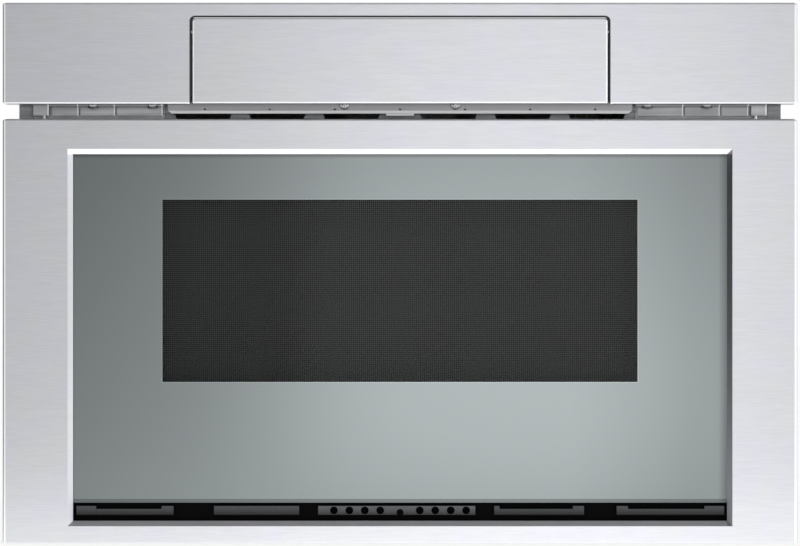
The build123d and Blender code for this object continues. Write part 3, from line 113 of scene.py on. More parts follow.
# The seal in the gap round the control flap.
seal_x = (-160.5 * mm, 160.5 * mm)
seal_y = -31.0 * mm
seal_z = (316.3 * mm, 383.4 * mm)
seal_width = 1.35 * mm
seal_depth = 3.0 * mm
seal_corner = 4.1 * mm

# The cross-recessed heads of the screws that show in the gap, and where these screws are.
head_radius = 3.9 * mm
head_height = 1.1 * mm
recess_reach = 0.45 * head_radius
recess_half = 0.1 * head_radius
recess_floor = 0.35 * head_height
bracket_screws_x = tuple(x * mm for x in (-235.0, -189.5, 189.5, 235.0))
bracket_screws_y = -13.02 * mm
bracket_screws_z = 317.1 * mm
ledge_screws_x = (-42.5 * mm, 42.5 * mm)
ledge_screws_y = -15.42 * mm
ledge_screws_z = 316.0 * mm
smooth_angle = math.radians(35)

# The baffle: half its middle bar, where painted light turns its bars paler towards the top, and
# where their faces begin, behind which all is painted near black as shade.
middle_bar_half = 67 * mm
bar_rise = (2.4 * mm, 7.5 * mm)
bar_faces = (-26 * mm, -24.5 * mm)

# The dark strip behind the baffle's round holes, a painted shade for the holes.
shade_strip_x = (-56 * mm, 56 * mm)
shade_strip_y = (-22.5 * mm, -21.9 * mm)
shade_strip_z = (2.0 * mm, 9.6 * mm)
shade_strip_bevel = 0.1 * mm

# The eye in the baffle's middle bar: a rim round a sunken lens.
eye_y = -29.2 * mm
eye_z = 4.2 * mm
eye_radius = 2.6 * mm
eye_thickness = 0.4 * mm
eye_rim = 0.5 * mm
eye_sink = 0.25 * mm
eye_bevel = 0.06 * mm
lens_inset = 0.4 * mm
lens_rise = 0.12 * mm

# The painted highlights along the cut edges of the steel plates.
painted_highlight = (0.95, 0.955, 0.97)
edge_half = 0.6 * mm
plate_sides = (-301.6 * mm, 301.6 * mm)
flap_sides = (-157.8 * mm, 157.8 * mm)
fascia_foot = 316.7 * mm
flap_foot = 317.1 * mm
drawer_foot = -19.4 * mm

# The bevel round the opening of the drawer front, painted with shade on its right and a highlight
# on
# its top: its right side, its top and how far it goes, how deep it lies, and the opening's middle
# and half sizes.
bevel_x = 251.6 * mm
bevel_z = 279.8 * mm
bevel_half = 2.1 * mm
sunk_middle = front_y + 2.2 * mm
sunk_half = 2.1 * mm
opening_middle = 137.85 * mm
opening_half_height = 144.1 * mm
opening_half_width = 254 * mm

# The brackets in the gap, where highlights are painted: the right edges of their pads, and their
# pins.
pad_edges = tuple(x * mm for x in (-269.4, -246.9, -218.9, -182.4, 216.6, 244.6, 266.6, 280.2))
pad_edge_half = 0.4 * mm
pad_middle = 311.8 * mm
pad_half = 4.2 * mm
pin_front = -5 * mm
pin_z = 306.2 * mm
pin_half = 1.4 * mm

# The touch panel: the middle and the slope of its face.
panel_centre = Vector((0.0, -11.2 * mm, 373.07 * mm))
panel_tilt = math.radians(23.0)

# The print on the touch panel: how far it stands off, its outlined keys, and its figures.
print_lift = 0.03 * mm
key_width = 17 * mm
key_height = 11.5 * mm
key_corner = 2.0 * mm
key_line = 0.3 * mm
key_thickness = 0.04 * mm
figure_half_thickness = 0.02 * mm
digit_size = 7.5 * mm
clock_size = 17 * mm

# The keys: how many on a side and in a row, and where their columns and rows are, in millimetres.
keys_a_side = 10
keys_a_row = 5
first_column = 52
column_step = 21
top_row = 7.5
row_step = 15


# ---------------------------------------------------------------- modelling


def deselect():
    """Leaves edit mode, with nothing selected."""
    if bpy.context.object and bpy.context.object.mode != "OBJECT":
        bpy.ops.object.mode_set(mode="OBJECT")
    bpy.ops.object.select_all(action="DESELECT")


def select_alone(piece):
    """Selects one piece, and nothing else."""
    deselect()
    piece.select_set(True)
    bpy.context.view_layer.objects.active = piece


def fresh(name):
    """The piece that was just added, under its own name."""
    piece = bpy.context.object
    piece.name = name
    return piece


def settle(piece):
    """Puts the piece's place, turn and size into its mesh."""
    select_alone(piece)
    bpy.ops.object.transform_apply(location=True, rotation=True, scale=True)
    return piece


def widened(span, extra):
    """A pair of places, moved apart."""
    return (span[0] - extra, span[1] + extra)


def block(name, x, y, z):
    """A box between pairs of places, ready to be shaped."""
    deselect()
    centre = [(a + b) / 2 for a, b in (x, y, z)]
    bpy.ops.mesh.primitive_cube_add(size=1, location=centre)
    piece = fresh(name)
    piece.scale = [b - a for a, b in (x, y, z)]
    return settle(piece)


def sheet(name, x, y, z):
    """A flat sheet: a pair of places along two axes, and one place along the third."""
    places = (x, y, z)
    flat = [isinstance(place, tuple) for place in places].index(False)
    centre = [sum(place) / 2 if isinstance(place, tuple) else place for place in places]
    width, depth, height = (place[1] - place[0] if isinstance(place, tuple) else 1
                            for place in places)
    turn, size = (
        ((0, math.pi / 2, 0), (height, depth, 1)),
        ((math.pi / 2, 0, 0), (width, height, 1)),
        ((0, 0, 0), (width, depth, 1)),
    )[flat]
    deselect()
    bpy.ops.mesh.primitive_plane_add(size=1, location=centre, rotation=turn)
    piece = fresh(name)
    piece.scale = size
    return settle(piece)


def unpicked(piece):
    """The mesh of a piece, with none of it selected."""
    select_alone(piece)
    mesh = piece.data
    for part in (mesh.polygons, mesh.edges, mesh.vertices):
        part.foreach_set("select", [False] * len(part))
    return mesh


def pick_faces(piece, wanted):
    """Edit mode with just the wanted faces selected; wanted is given a face's centre and normal."""
    for face in unpicked(piece).polygons:
        face.select = bool(wanted(face.center, face.normal))
    bpy.ops.object.mode_set(mode="EDIT")
    bpy.ops.mesh.select_mode(type="FACE")


def pick_edges(piece, wanted):
    """Edit mode with just the wanted edges selected; wanted is given an edge's two ends."""
    mesh = unpicked(piece)
    bpy.ops.object.mode_set(mode="EDIT")
    bpy.ops.mesh.select_mode(type="EDGE")
    bpy.ops.object.mode_set(mode="OBJECT")
    for edge in mesh.edges:
        edge.select = bool(wanted(*(mesh.vertices[v].co for v in edge.vertices)))
    bpy.ops.object.mode_set(mode="EDIT")


def pick_corners(piece, wanted):
    """Edit mode with just the wanted corners selected; wanted is given a corner's place."""
    pick_edges(piece, lambda first, second: False)
    bpy.ops.object.mode_set(mode="OBJECT")
    for corner in piece.data.vertices:
        corner.select = bool(wanted(corner.co))
    bpy.ops.object.mode_set(mode="EDIT")
    bpy.ops.mesh.select_mode(type="VERT")


def done():
    """Leaves edit mode."""
    bpy.ops.object.mode_set(mode="OBJECT")


def apply(piece, kind, **values):
    """Adds a modifier to the piece and applies it."""
    select_alone(piece)
    modifier = piece.modifiers.new(kind.lower(), kind)
    for key, value in values.items():
        setattr(modifier, key, value)
    bpy.ops.object.modifier_apply(modifier=modifier.name)
    return piece


def smoothed(piece):
    """Shades the piece smooth, apart from its sharp edges."""
    select_alone(piece)
    bpy.ops.object.shade_smooth_by_angle(angle=smooth_angle)
    return piece


def join(name, pieces):
    """Makes one piece of several."""
    deselect()
    for piece in pieces:
        piece.select_set(True)
    bpy.context.view_layer.objects.active = pieces[0]
    bpy.ops.object.join()
    pieces[0].name = name
    return pieces[0]


def wear(piece, finish, body):
    """Gives a new piece its finish and the body it moves with."""
    piece.data.materials.clear()
    piece.data.materials.append(finish.material)
    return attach(piece, body)


# ---------------------------------------------------------------- finishes


class Finish:
    """A material on one shader, with patterns that sit on the object's own coordinates."""

    def __init__(self, name, colour, roughness, metallic=0.0, sockets=None):
        self.material = bpy.data.materials.new(name)
        self.material.use_nodes = True
        self.nodes = self.material.node_tree.nodes
        self.links = self.material.node_tree.links
        self.shader = self.nodes["Principled BSDF"]
        self.place = self.nodes.new("ShaderNodeTexCoord").outputs["Object"]
        self.value("Base Color", (*colour, 1))
        self.value("Roughness", roughness)
        self.value("Metallic", metallic)
        for socket, value in (sockets or {}).items():
            self.value(socket, value)

    def value(self, socket, value):
        self.shader.inputs[socket].default_value = value

    def counted(self, count):
        """The object's coordinates, times a count a metre: one for all axes, or one for each."""
        mapping = self.nodes.new("ShaderNodeMapping")
        counts = count if isinstance(count, tuple) else (count, count, count)
        mapping.inputs["Scale"].default_value = counts
        self.links.new(self.place, mapping.inputs["Vector"])
        return mapping.outputs["Vector"]

    def noise(self, count, detail):
        """Noise, so many patches a metre."""
        texture = self.nodes.new("ShaderNodeTexNoise")
        texture.inputs["Scale"].default_value = 1.0
        texture.inputs["Detail"].default_value = detail
        self.links.new(self.counted(count), texture.inputs["Vector"])
        return texture.outputs["Fac"]

    def cells(self, count, output="Color"):
        """Cells, so many a metre: a colour for each, or the distance to their middles."""
        texture = self.nodes.new("ShaderNodeTexVoronoi")
        texture.inputs["Scale"].default_value = 1.0
        self.links.new(self.counted(count), texture.inputs["Vector"])
        return texture.outputs[output]

    def stripes(self, axis, count):
        """Even stripes across one axis, so many a metre."""
        texture = self.nodes.new("ShaderNodeTexWave")
        texture.bands_direction = axis
        texture.inputs["Scale"].default_value = count / 3.0
        self.links.new(self.place, texture.inputs["Vector"])
        return texture.outputs["Fac"]

    def ranged(self, pattern, low, high, start=0.3, end=0.7):
        """The pattern's start to end, drawn out to low to high."""
        ranger = self.nodes.new("ShaderNodeMapRange")
        ends = (("From Min", start), ("From Max", end), ("To Min", low), ("To Max", high))
        for key, value in ends:
            ranger.inputs[key].default_value = value
        self.links.new(pattern, ranger.inputs["Value"])
        return ranger.outputs["Result"]

    def mixer(self, kind):
        """A node that mixes colours, its two colour sockets going in, and the one coming out."""
        node = self.nodes.new("ShaderNodeMix")
        node.data_type = "RGBA"
        node.blend_type = kind
        colours_in = [socket for socket in node.inputs if socket.type == "RGBA"]
        colours_out = [socket for socket in node.outputs if socket.type == "RGBA"]
        return node, colours_in, colours_out[0]

    def blended(self, pattern, first, second, start=0.3, end=0.7):
        """Runs from one colour to another, or between two colour sockets, as the pattern goes."""
        node, colours_in, mixed = self.mixer("MIX")
        self.links.new(self.ranged(pattern, 0, 1, start, end), node.inputs["Factor"])
        for socket, colour in zip(colours_in, (first, second)):
            if isinstance(colour, tuple):
                socket.default_value = (*colour, 1)
            else:
                self.links.new(colour, socket)
        return mixed

    def darkened(self, output, share):
        """A colour socket, at a share of its brightness or of each of its three colours."""
        node, colours_in, mixed = self.mixer("MULTIPLY")
        node.inputs["Factor"].default_value = 1.0
        self.links.new(output, colours_in[0])
        shares = share if isinstance(share, tuple) else (share, share, share)
        colours_in[1].default_value = (*shares, 1)
        return mixed

    def colour(self, output):
        self.links.new(output, self.shader.inputs["Base Color"])
        return self

    def mottled(self, count, detail, first, second, start=0.3, end=0.7):
        """Colours the surface in soft patches, so many a metre, from one colour to another."""
        return self.colour(self.blended(self.noise(count, detail), first, second, start, end))

    def rough(self, pattern, low, high, start=0.3, end=0.7):
        roughness = self.ranged(pattern, low, high, start, end)
        self.links.new(roughness, self.shader.inputs["Roughness"])
        return self

    def crevice_shade(self, output, reach, share):
        """A colour socket, with painted shade where other surfaces stand within reach."""
        closeness = self.nodes.new("ShaderNodeAmbientOcclusion")
        closeness.inputs["Distance"].default_value = reach
        closeness.samples = 8
        shaded = self.darkened(output, share)
        return self.blended(closeness.outputs["AO"], shaded, output, 0.45, 0.95)

    def band(self, axis, places, half):
        """One in narrow bands about some places on an axis; otherwise nought."""
        total = None
        for place in places:
            near = self.reckoned("COMPARE", self.axis(axis), place)
            near.node.inputs[2].default_value = half
            total = self.reckoned("MAXIMUM", total, near) if total else near
        return total

    def reckoned(self, kind, first, second):
        """One step of arithmetic, on a socket and a number or on two sockets."""
        node = self.nodes.new("ShaderNodeMath")
        node.operation = kind
        self.links.new(first, node.inputs[0])
        if isinstance(second, float):
            node.inputs[1].default_value = second
        else:
            self.links.new(second, node.inputs[1])
        return node.outputs[0]

    def among(self, *masks):
        """Where all the masks are one."""
        total = masks[0]
        for mask in masks[1:]:
            total = self.reckoned("MULTIPLY", total, mask)
        return total

    def retoned(self, output, mask, tone):
        """A colour socket, with another tone where the mask is one."""
        return self.blended(mask, output, tone, 0, 1)

    def bump(self, pattern, depth, strength):
        """Raises the surface by the pattern, to a depth in metres."""
        bumper = self.nodes.new("ShaderNodeBump")
        bumper.inputs["Distance"].default_value = depth
        bumper.inputs["Strength"].default_value = strength
        self.links.new(pattern, bumper.inputs["Height"])
        self.links.new(bumper.outputs["Normal"], self.shader.inputs["Normal"])
        return self

    def axis(self, name):
        """The surface's place along one axis, in metres."""
        parts = self.nodes.new("ShaderNodeSeparateXYZ")
        self.links.new(self.place, parts.inputs["Vector"])
        return parts.outputs[name]

    def stretched_highlight(self, direction):
        """Stretches the highlight along a direction, across the brushing."""
        tangent = self.nodes.new("ShaderNodeCombineXYZ")
        for key, value in zip("XYZ", direction):
            tangent.inputs[key].default_value = value
        self.links.new(tangent.outputs["Vector"], self.shader.inputs["Tangent"])
        return self


def brushed_stainless(name, side_edges, level_edges, bevelled=False):
    """Short fine lines along the width, faint bluish patches, painted highlights on the cut edges
    and, if asked, painted shade on the bevel's right side and a painted highlight on its top.
    """
    finish = Finish(name, (0.6, 0.61, 0.63), 0.32, 1.0, {"Anisotropic": 0.6})
    fine = finish.noise((70, 1500, 1500), 3)
    broad = finish.noise((14, 330, 330), 2)
    patches = finish.noise(36, 1)
    tone = finish.blended(fine, (0.594, 0.602, 0.62), (0.646, 0.654, 0.672))
    bluish = finish.darkened(tone, (1.0, 0.997, 1.04))
    tone = finish.blended(patches, tone, bluish, 0.42, 0.6)
    face = finish.blended(broad, finish.darkened(tone, 0.985), tone)
    # Painted highlights along the cut edges of the plate.
    upright_highlights = finish.band("X", side_edges, edge_half)
    level_highlights = finish.band("Z", level_edges, edge_half)
    face = finish.retoned(face, finish.reckoned("MAXIMUM", upright_highlights, level_highlights), painted_highlight)
    if bevelled:
        sunk = finish.band("Y", (sunk_middle,), sunk_half)
        beside = finish.among(sunk, finish.band("Z", (opening_middle,), opening_half_height))
        above = finish.among(sunk, finish.band("X", (0.0,), opening_half_width))
        right = finish.among(beside, finish.band("X", (bevel_x,), bevel_half))
        top = finish.among(above, finish.band("Z", (bevel_z,), bevel_half))
        # Painted shade on the bevel's right side, and a painted highlight on its top.
        face = finish.retoned(face, right, finish.darkened(tone, 0.55))
        face = finish.retoned(face, top, painted_highlight)
    finish.colour(face)
    finish.rough(finish.noise((30, 900, 900), 2), 0.315, 0.335)
    finish.bump(fine, 0.004 * mm, 0.12)
    return finish.stretched_highlight((0, 0, 1))


def plain_sheet(name, tone, edges=()):
    """Zinc-plated steel with rolling marks, clouds, painted shade in its corners and, if asked,
    painted highlights on edges and pins.
    """
    finish = Finish(name, (tone, tone, tone), 0.42, 1.0)
    clouds = finish.noise(40, 3)
    dark = (tone * 0.92, tone * 0.93, tone * 0.96)
    pale = (tone * 1.12, tone * 1.13, tone * 1.15)
    # Painted shade in the corners, where other surfaces stand close.
    face = finish.crevice_shade(finish.blended(clouds, dark, pale), 2.5 * mm, 0.45)
    if edges:
        # Painted highlights on the right edges of the bracket pads and on the pins.
        pads = finish.band("Z", (pad_middle,), pad_half)
        ahead = finish.reckoned("LESS_THAN", finish.axis("Y"), pin_front)
        pins = finish.among(ahead, finish.band("Z", (pin_z,), pin_half))
        right_edges = finish.among(pads, finish.band("X", edges, pad_edge_half))
        face = finish.retoned(face, finish.reckoned("MAXIMUM", right_edges, pins), painted_highlight)
    finish.colour(face)
    finish.rough(finish.noise((12, 500, 500), 3), 0.36, 0.5)
    return finish.bump(finish.noise(900, 1), 0.008 * mm, 0.4)


def ledge_sheet():
    """Plated steel whose lower lip is painted with a highlight."""
    finish = Finish("ledge_sheet", (0.5, 0.5, 0.51), 0.4, 1.0)
    lines = finish.noise((8, 900, 900), 2)
    face = finish.blended(lines, (0.33, 0.33, 0.345), (0.4, 0.4, 0.415))
    lip = finish.blended(lines, (0.58, 0.585, 0.6), (0.65, 0.655, 0.67))
    # Painted highlight: the lip is paler than the face above it.
    finish.colour(finish.blended(finish.axis("Z"), lip, face, *lip_fade))
    finish.rough(lines, 0.34, 0.46)
    return finish.bump(lines, 0.005 * mm, 0.3)


def black_steel(name="black_steel"):
    """Black-oxide steel, a little worn."""
    finish = Finish(name, (0.004, 0.004, 0.005), 0.5, 0.0, {"Specular IOR Level": 0.02})
    finish.mottled(500, 2, (0.001, 0.001, 0.0012), (0.004, 0.004, 0.0045))
    return finish.rough(finish.noise(300, 2), 0.32, 0.5)


def screw_steel():
    """Bright zinc on small screws, with painted shade in the recess."""
    finish = Finish("screw_steel", (0.7, 0.7, 0.71), 0.22, 1.0)
    tone = finish.blended(finish.noise(900, 2), (0.4, 0.4, 0.41), (0.52, 0.52, 0.53))
    # Painted shade in the screw's recess.
    finish.colour(finish.crevice_shade(tone, 0.8 * mm, 0.3))
    return finish.rough(finish.noise(700, 2), 0.16, 0.3)


def lens_black():
    """Smoked lens of a small sensor."""
    finish = Finish("lens_black", (0.001, 0.001, 0.0015), 0.3, 0.0, {"Specular IOR Level": 0.02})
    return finish.rough(finish.noise(400, 2), 0.14, 0.26)


def galvanised_sheet():
    """Galvanised steel: pale crystals of zinc, each with its own tone and shine."""
    finish = Finish("galvanised_sheet", (0.55, 0.56, 0.57), 0.45, 0.9)
    spangle = finish.cells(95)
    finish.colour(finish.blended(spangle, (0.47, 0.48, 0.495), (0.6, 0.61, 0.62), 0.1, 0.9))
    finish.rough(spangle, 0.38, 0.55, 0.1, 0.9)
    return finish.bump(finish.noise(700, 2), 0.01 * mm, 0.35)


def zinc_rail():
    """Bright rolled steel, with drawing lines along the slide and thin grease."""
    finish = Finish("zinc_rail", (0.6, 0.6, 0.6), 0.25, 1.0)
    lines = finish.noise((1400, 6, 1400), 2)
    finish.colour(finish.blended(lines, (0.52, 0.52, 0.525), (0.66, 0.66, 0.655)))
    finish.rough(finish.noise((60, 8, 60), 3), 0.18, 0.36)
    return finish.bump(lines, 0.005 * mm, 0.4)


def cavity_paint():
    """Baked grey enamel with a slight orange peel."""
    finish = Finish("cavity_paint", (0.42, 0.43, 0.44), 0.3, 0.0, {"Coat Weight": 0.2})
    finish.mottled(25, 3, (0.4, 0.41, 0.42), (0.45, 0.46, 0.47))
    finish.rough(finish.noise(180, 2), 0.26, 0.36)
    return finish.bump(finish.noise(420, 2), 0.03 * mm, 0.4)


def clear_glass():
    """Smoked clear glass: what lies behind it shows through."""
    finish = Finish("door_glass", (0.012, 0.016, 0.015), 0.06, 0.0, {"Alpha": 0.1, "IOR": 1.5})
    return finish.rough(finish.noise(8, 2), 0.04, 0.08)


def mirror_coating():
    """Grey-green coat: painted shade darkening it towards its top, left and right and at its
    borders, a painted highlight round the window, and painted shade along its foot.
    """
    finish = Finish("mirror_coating", (0.33, 0.37, 0.365), 0.22, 1.0)
    cloud = finish.noise(3, 2)
    tone = finish.blended(cloud, (0.257, 0.283, 0.285), (0.268, 0.294, 0.296))
    width, height = finish.axis("X"), finish.axis("Z")
    # Painted shade and light: darker towards the top, the left and the right, and at the borders.
    tone = finish.blended(height, tone, finish.darkened(tone, 0.67), *coat_height)
    tone = finish.blended(width, finish.darkened(tone, 0.86), tone, *coat_left)
    tone = finish.blended(width, finish.darkened(tone, 0.6), tone, *coat_left_border)
    tone = finish.blended(width, tone, finish.darkened(tone, 0.83), *coat_right)
    tone = finish.blended(width, tone, finish.darkened(tone, 0.5), *coat_right_border)
    tone = finish.blended(height, tone, finish.darkened(tone, 0.5), *coat_top_border)
    # A painted highlight round the edge of the window.
    beside = finish.among(finish.band("X", window_x, light_half),
                          finish.band("Z", (window_middle,), window_half_height))
    above = finish.among(finish.band("Z", window_z, light_half),
                         finish.band("X", (0.0,), window_half_width))
    window_highlight = finish.reckoned("MAXIMUM", beside, above)
    tone = finish.retoned(tone, window_highlight, finish.darkened(tone, 1.25))
    # Painted shade along the foot of the glass.
    ground = finish.darkened(tone, 0.6)
    finish.colour(finish.blended(height, ground, tone, foot_shade_top - foot_shade_blur, foot_shade_top))
    return finish.rough(cloud, 0.16, 0.19)


def screen_wire():
    """Black enamelled wire, a little worn in spots."""
    finish = Finish("screen_wire", (0.02, 0.021, 0.021), 0.45, 0.0, {"Specular IOR Level": 0.3})
    wear_spots = finish.noise(600, 1)
    finish.colour(finish.blended(wear_spots, (0.009, 0.0092, 0.0092), (0.022, 0.0225, 0.0225)))
    return finish.rough(wear_spots, 0.38, 0.55)


def black_plastic():
    """Moulded plastic with a fine spark-eroded grain."""
    finish = Finish("black_plastic", (0.03, 0.031, 0.032), 0.5)
    grain = finish.noise(1600, 2)
    finish.mottled(30, 3, (0.024, 0.025, 0.026), (0.036, 0.037, 0.038))
    finish.rough(grain, 0.42, 0.6)
    return finish.bump(grain, 0.02 * mm, 0.5)


def black_paint():
    """Black baked paint on sheet steel."""
    finish = Finish("black_paint", (0.006, 0.006, 0.006), 0.5, 0.0, {"Specular IOR Level": 0.15})
    finish.mottled(40, 2, (0.004, 0.004, 0.0042), (0.008, 0.008, 0.0084))
    finish.rough(finish.noise(300, 2), 0.42, 0.58)
    return finish.bump(finish.noise(500, 2), 0.01 * mm, 0.4)


def baffle_plastic():
    """Black plastic whose raised bars are grey, paler in the middle and, as painted light, paler at
    the top, with painted shade making all behind their faces near black.
    """
    finish = Finish("baffle_plastic", (0.03, 0.031, 0.032), 0.45, 0.0,
                    {"Specular IOR Level": 0.04})
    grain = finish.noise(1500, 2)
    bars = finish.blended(grain, (0.058, 0.062, 0.065), (0.078, 0.082, 0.086))
    middle_bar = finish.band("X", (0.0,), middle_bar_half)
    bars = finish.retoned(bars, middle_bar, finish.darkened(bars, 1.55))
    # Painted light: the bars are darker towards the bottom and paler towards the top.
    top_lit_bars = finish.blended(finish.axis("Z"), finish.darkened(bars, 0.35), bars, *bar_rise)
    # Painted shade: all behind the bars' faces is near black.
    behind = (0.0015, 0.0015, 0.0017)
    finish.colour(finish.blended(finish.axis("Y"), top_lit_bars, behind, *bar_faces))
    finish.rough(grain, 0.5, 0.65)
    return finish.bump(grain, 0.02 * mm, 0.4)


def touch_panel():
    """Black glass under a clear coat, with a slightly uneven gloss."""
    finish = Finish("touch_panel", (0.01, 0.011, 0.013), 0.07, 0.0, {"Coat Weight": 1.0})
    return finish.rough(finish.noise(60, 3), 0.05, 0.12)


def ceramic():
    """Pale glass-ceramic with fine specks under a gloss."""
    finish = Finish("ceramic", (0.75, 0.75, 0.73), 0.14, 0.0, {"Coat Weight": 0.4})
    finish.mottled(900, 1, (0.7, 0.7, 0.68), (0.79, 0.79, 0.775), 0.35, 0.6)
    finish.rough(finish.noise(35, 2), 0.1, 0.2)
    return finish.bump(finish.noise(260, 2), 0.01 * mm, 0.3)


def white_nylon():
    """Milky moulded nylon with a waxy gloss."""
    finish = Finish("white_nylon", (0.74, 0.73, 0.69), 0.38, 0.0, {"Subsurface Weight": 0.06})
    finish.mottled(110, 2, (0.7, 0.69, 0.64), (0.78, 0.775, 0.74))
    finish.rough(finish.noise(900, 2), 0.32, 0.46)
    return finish.bump(finish.noise(1200, 1), 0.01 * mm, 0.3)


def circuit_board():
    """Green solder mask over copper tracks and round pads."""
    finish = Finish("circuit_board", (0.02, 0.1, 0.05), 0.3, 0.0, {"Coat Weight": 0.3})
    bricks = finish.nodes.new("ShaderNodeTexBrick")
    bricks.inputs["Scale"].default_value = 55.0
    bricks.inputs["Mortar Size"].default_value = 0.045
    bricks.inputs["Color1"].default_value = (0.012, 0.075, 0.035, 1)
    bricks.inputs["Color2"].default_value = (0.018, 0.095, 0.045, 1)
    bricks.inputs["Mortar"].default_value = (0.06, 0.2, 0.08, 1)
    finish.links.new(finish.place, bricks.inputs["Vector"])
    pads = finish.cells(180, "Distance")
    finish.colour(finish.blended(pads, (0.55, 0.45, 0.2), bricks.outputs["Color"], 0.08, 0.12))
    return finish.rough(pads, 0.22, 0.35, 0.05, 0.3)


def motor_steel():
    """Pressed steel motor can, passivated to a faint yellow."""
    finish = Finish("motor_steel", (0.5, 0.48, 0.43), 0.35, 1.0)
    finish.mottled(50, 3, (0.45, 0.435, 0.4), (0.56, 0.535, 0.47))
    finish.rough(finish.noise(300, 2), 0.28, 0.44)
    return finish.bump(finish.noise(800, 1), 0.008 * mm, 0.4)


def core_steel():
    """Stacked laminations with dark varnish between them."""
    finish = Finish("core_steel", (0.2, 0.19, 0.18), 0.5, 0.7)
    layers = finish.stripes("X", 1100)
    finish.colour(finish.blended(layers, (0.07, 0.06, 0.05), (0.3, 0.27, 0.23), 0.2, 0.7))
    finish.rough(finish.noise(200, 2), 0.4, 0.62)
    return finish.bump(layers, 0.05 * mm, 0.6)


def cast_aluminium():
    """Bare aluminium with a soft grain."""
    finish = Finish("cast_aluminium", (0.72, 0.73, 0.74), 0.35, 1.0)
    finish.mottled(70, 3, (0.66, 0.67, 0.685), (0.78, 0.785, 0.79))
    finish.rough(finish.noise(500, 2), 0.28, 0.46)
    return finish.bump(finish.noise(600, 2), 0.012 * mm, 0.4)


def mica():
    """Pressed mica: thin flakes, honey grey."""
    finish = Finish("mica", (0.5, 0.44, 0.34), 0.4, 0.0, {"Coat Weight": 0.2})
    flakes = finish.cells(240)
    finish.colour(finish.blended(flakes, (0.4, 0.35, 0.26), (0.58, 0.52, 0.42), 0.1, 0.9))
    return finish.rough(flakes, 0.3, 0.55, 0.1, 0.9)


def printed_mark():
    """Pale grey print on the touch glass."""
    finish = Finish("printed_mark", (0.7, 0.72, 0.74), 0.5)
    return finish.mottled(900, 1, (0.62, 0.64, 0.66), (0.76, 0.78, 0.8))


def lit_digit():
    """Clock digits that glow a cool white."""
    finish = Finish("lit_digit", (0.5, 0.75, 0.9), 0.4, 0.0, {"Emission Strength": 0.8})
    finish.value("Emission Color", (0.55, 0.85, 1.0, 1))
    return finish.mottled(700, 1, (0.45, 0.7, 0.85), (0.6, 0.85, 0.95))


# ---------------------------------------------------------------- new pieces


def wire_rows(name, span, across, count, upright):
    """A row of flattened wires, one pitch apart, either upright or lying along the width."""
    middle = (across[0] + across[1]) / 2
    start = middle - wire_pitch * (count - 1) / 2
    thick = (start - wire_width / 2, start + wire_width / 2)
    lean = wire_lean if upright else -wire_lean
    y = (screen_y + lean - wire_depth / 2, screen_y + lean + wire_depth / 2)
    x, z = (thick, span) if upright else (span, thick)
    wire = block(name, x, y, z)
    along = 2 if upright else 0
    pick_edges(wire, lambda a, b: abs(a[along] - b[along]) > wire_pitch)
    bpy.ops.mesh.bevel(offset=wire_bevel, segments=1)
    done()
    step = (wire_pitch, 0, 0) if upright else (0, 0, wire_pitch)
    return apply(wire, "ARRAY", count=count, use_relative_offset=False,
                 use_constant_offset=True, constant_offset_displace=step)


def window_screen():
    """Black woven screen in a flat rim, behind the window."""
    columns = int((window_x[1] - window_x[0]) / wire_pitch) + 3
    rows = int((window_z[1] - window_z[0]) / wire_pitch) + 3
    tall, wide = widened(window_z, wire_overlap), widened(window_x, wire_overlap)
    upright = wire_rows("window_mesh", tall, window_x, columns, True)
    level = wire_rows("level_wires", wide, window_z, rows, False)
    rim = sheet("rim", screen_x, screen_y, screen_z)
    cut_frame(rim, widened(window_x, rim_overlap), widened(window_z, rim_overlap))
    apply(rim, "SOLIDIFY", thickness=rim_thickness, offset=0.0)
    return join("window_mesh", [upright, level, rim])


def cut_frame(piece, x, z):
    """Cuts a rectangular hole through a flat upright sheet."""
    for place, direction in (((x[0], 0, 0), (1, 0, 0)), ((x[1], 0, 0), (1, 0, 0)),
                             ((0, 0, z[0]), (0, 0, 1)), ((0, 0, z[1]), (0, 0, 1))):
        pick_faces(piece, lambda centre, normal: True)
        bpy.ops.mesh.bisect(plane_co=place, plane_no=direction)
        done()
    pick_faces(piece, lambda centre, normal: x[0] < centre.x < x[1] and z[0] < centre.z < z[1])
    bpy.ops.mesh.delete(type="FACE")
    done()


def mirror_frame():
    """The reflecting coat round the window, a thin layer on the front of the glass."""
    coat = sheet("mirror_coating", mirror_x, mirror_y, mirror_z)
    cut_frame(coat, window_x, window_z)
    return apply(coat, "SOLIDIFY", thickness=mirror_thickness, offset=1.0)


def gap_seal():
    """A thin black seal round the sides and top of the control flap's hole."""
    seal = sheet("gap_seal", seal_x, seal_y, seal_z)
    top = seal_z[1] - 0.1 * mm
    pick_corners(seal, lambda place: place.z > top)
    bpy.ops.mesh.bevel(offset=seal_corner, segments=8, affect="VERTICES")
    bpy.ops.mesh.select_all(action="SELECT")
    bpy.ops.mesh.inset(thickness=seal_width)
    bpy.ops.mesh.delete(type="FACE")
    done()
    foot = seal_z[0] + seal_width
    inner = seal_x[1] - 2 * seal_width
    pick_faces(seal, lambda centre, normal: centre.z < foot and abs(centre.x) < inner)
    bpy.ops.mesh.delete(type="FACE")
    done()
    return apply(seal, "SOLIDIFY", thickness=seal_depth, offset=0.0)


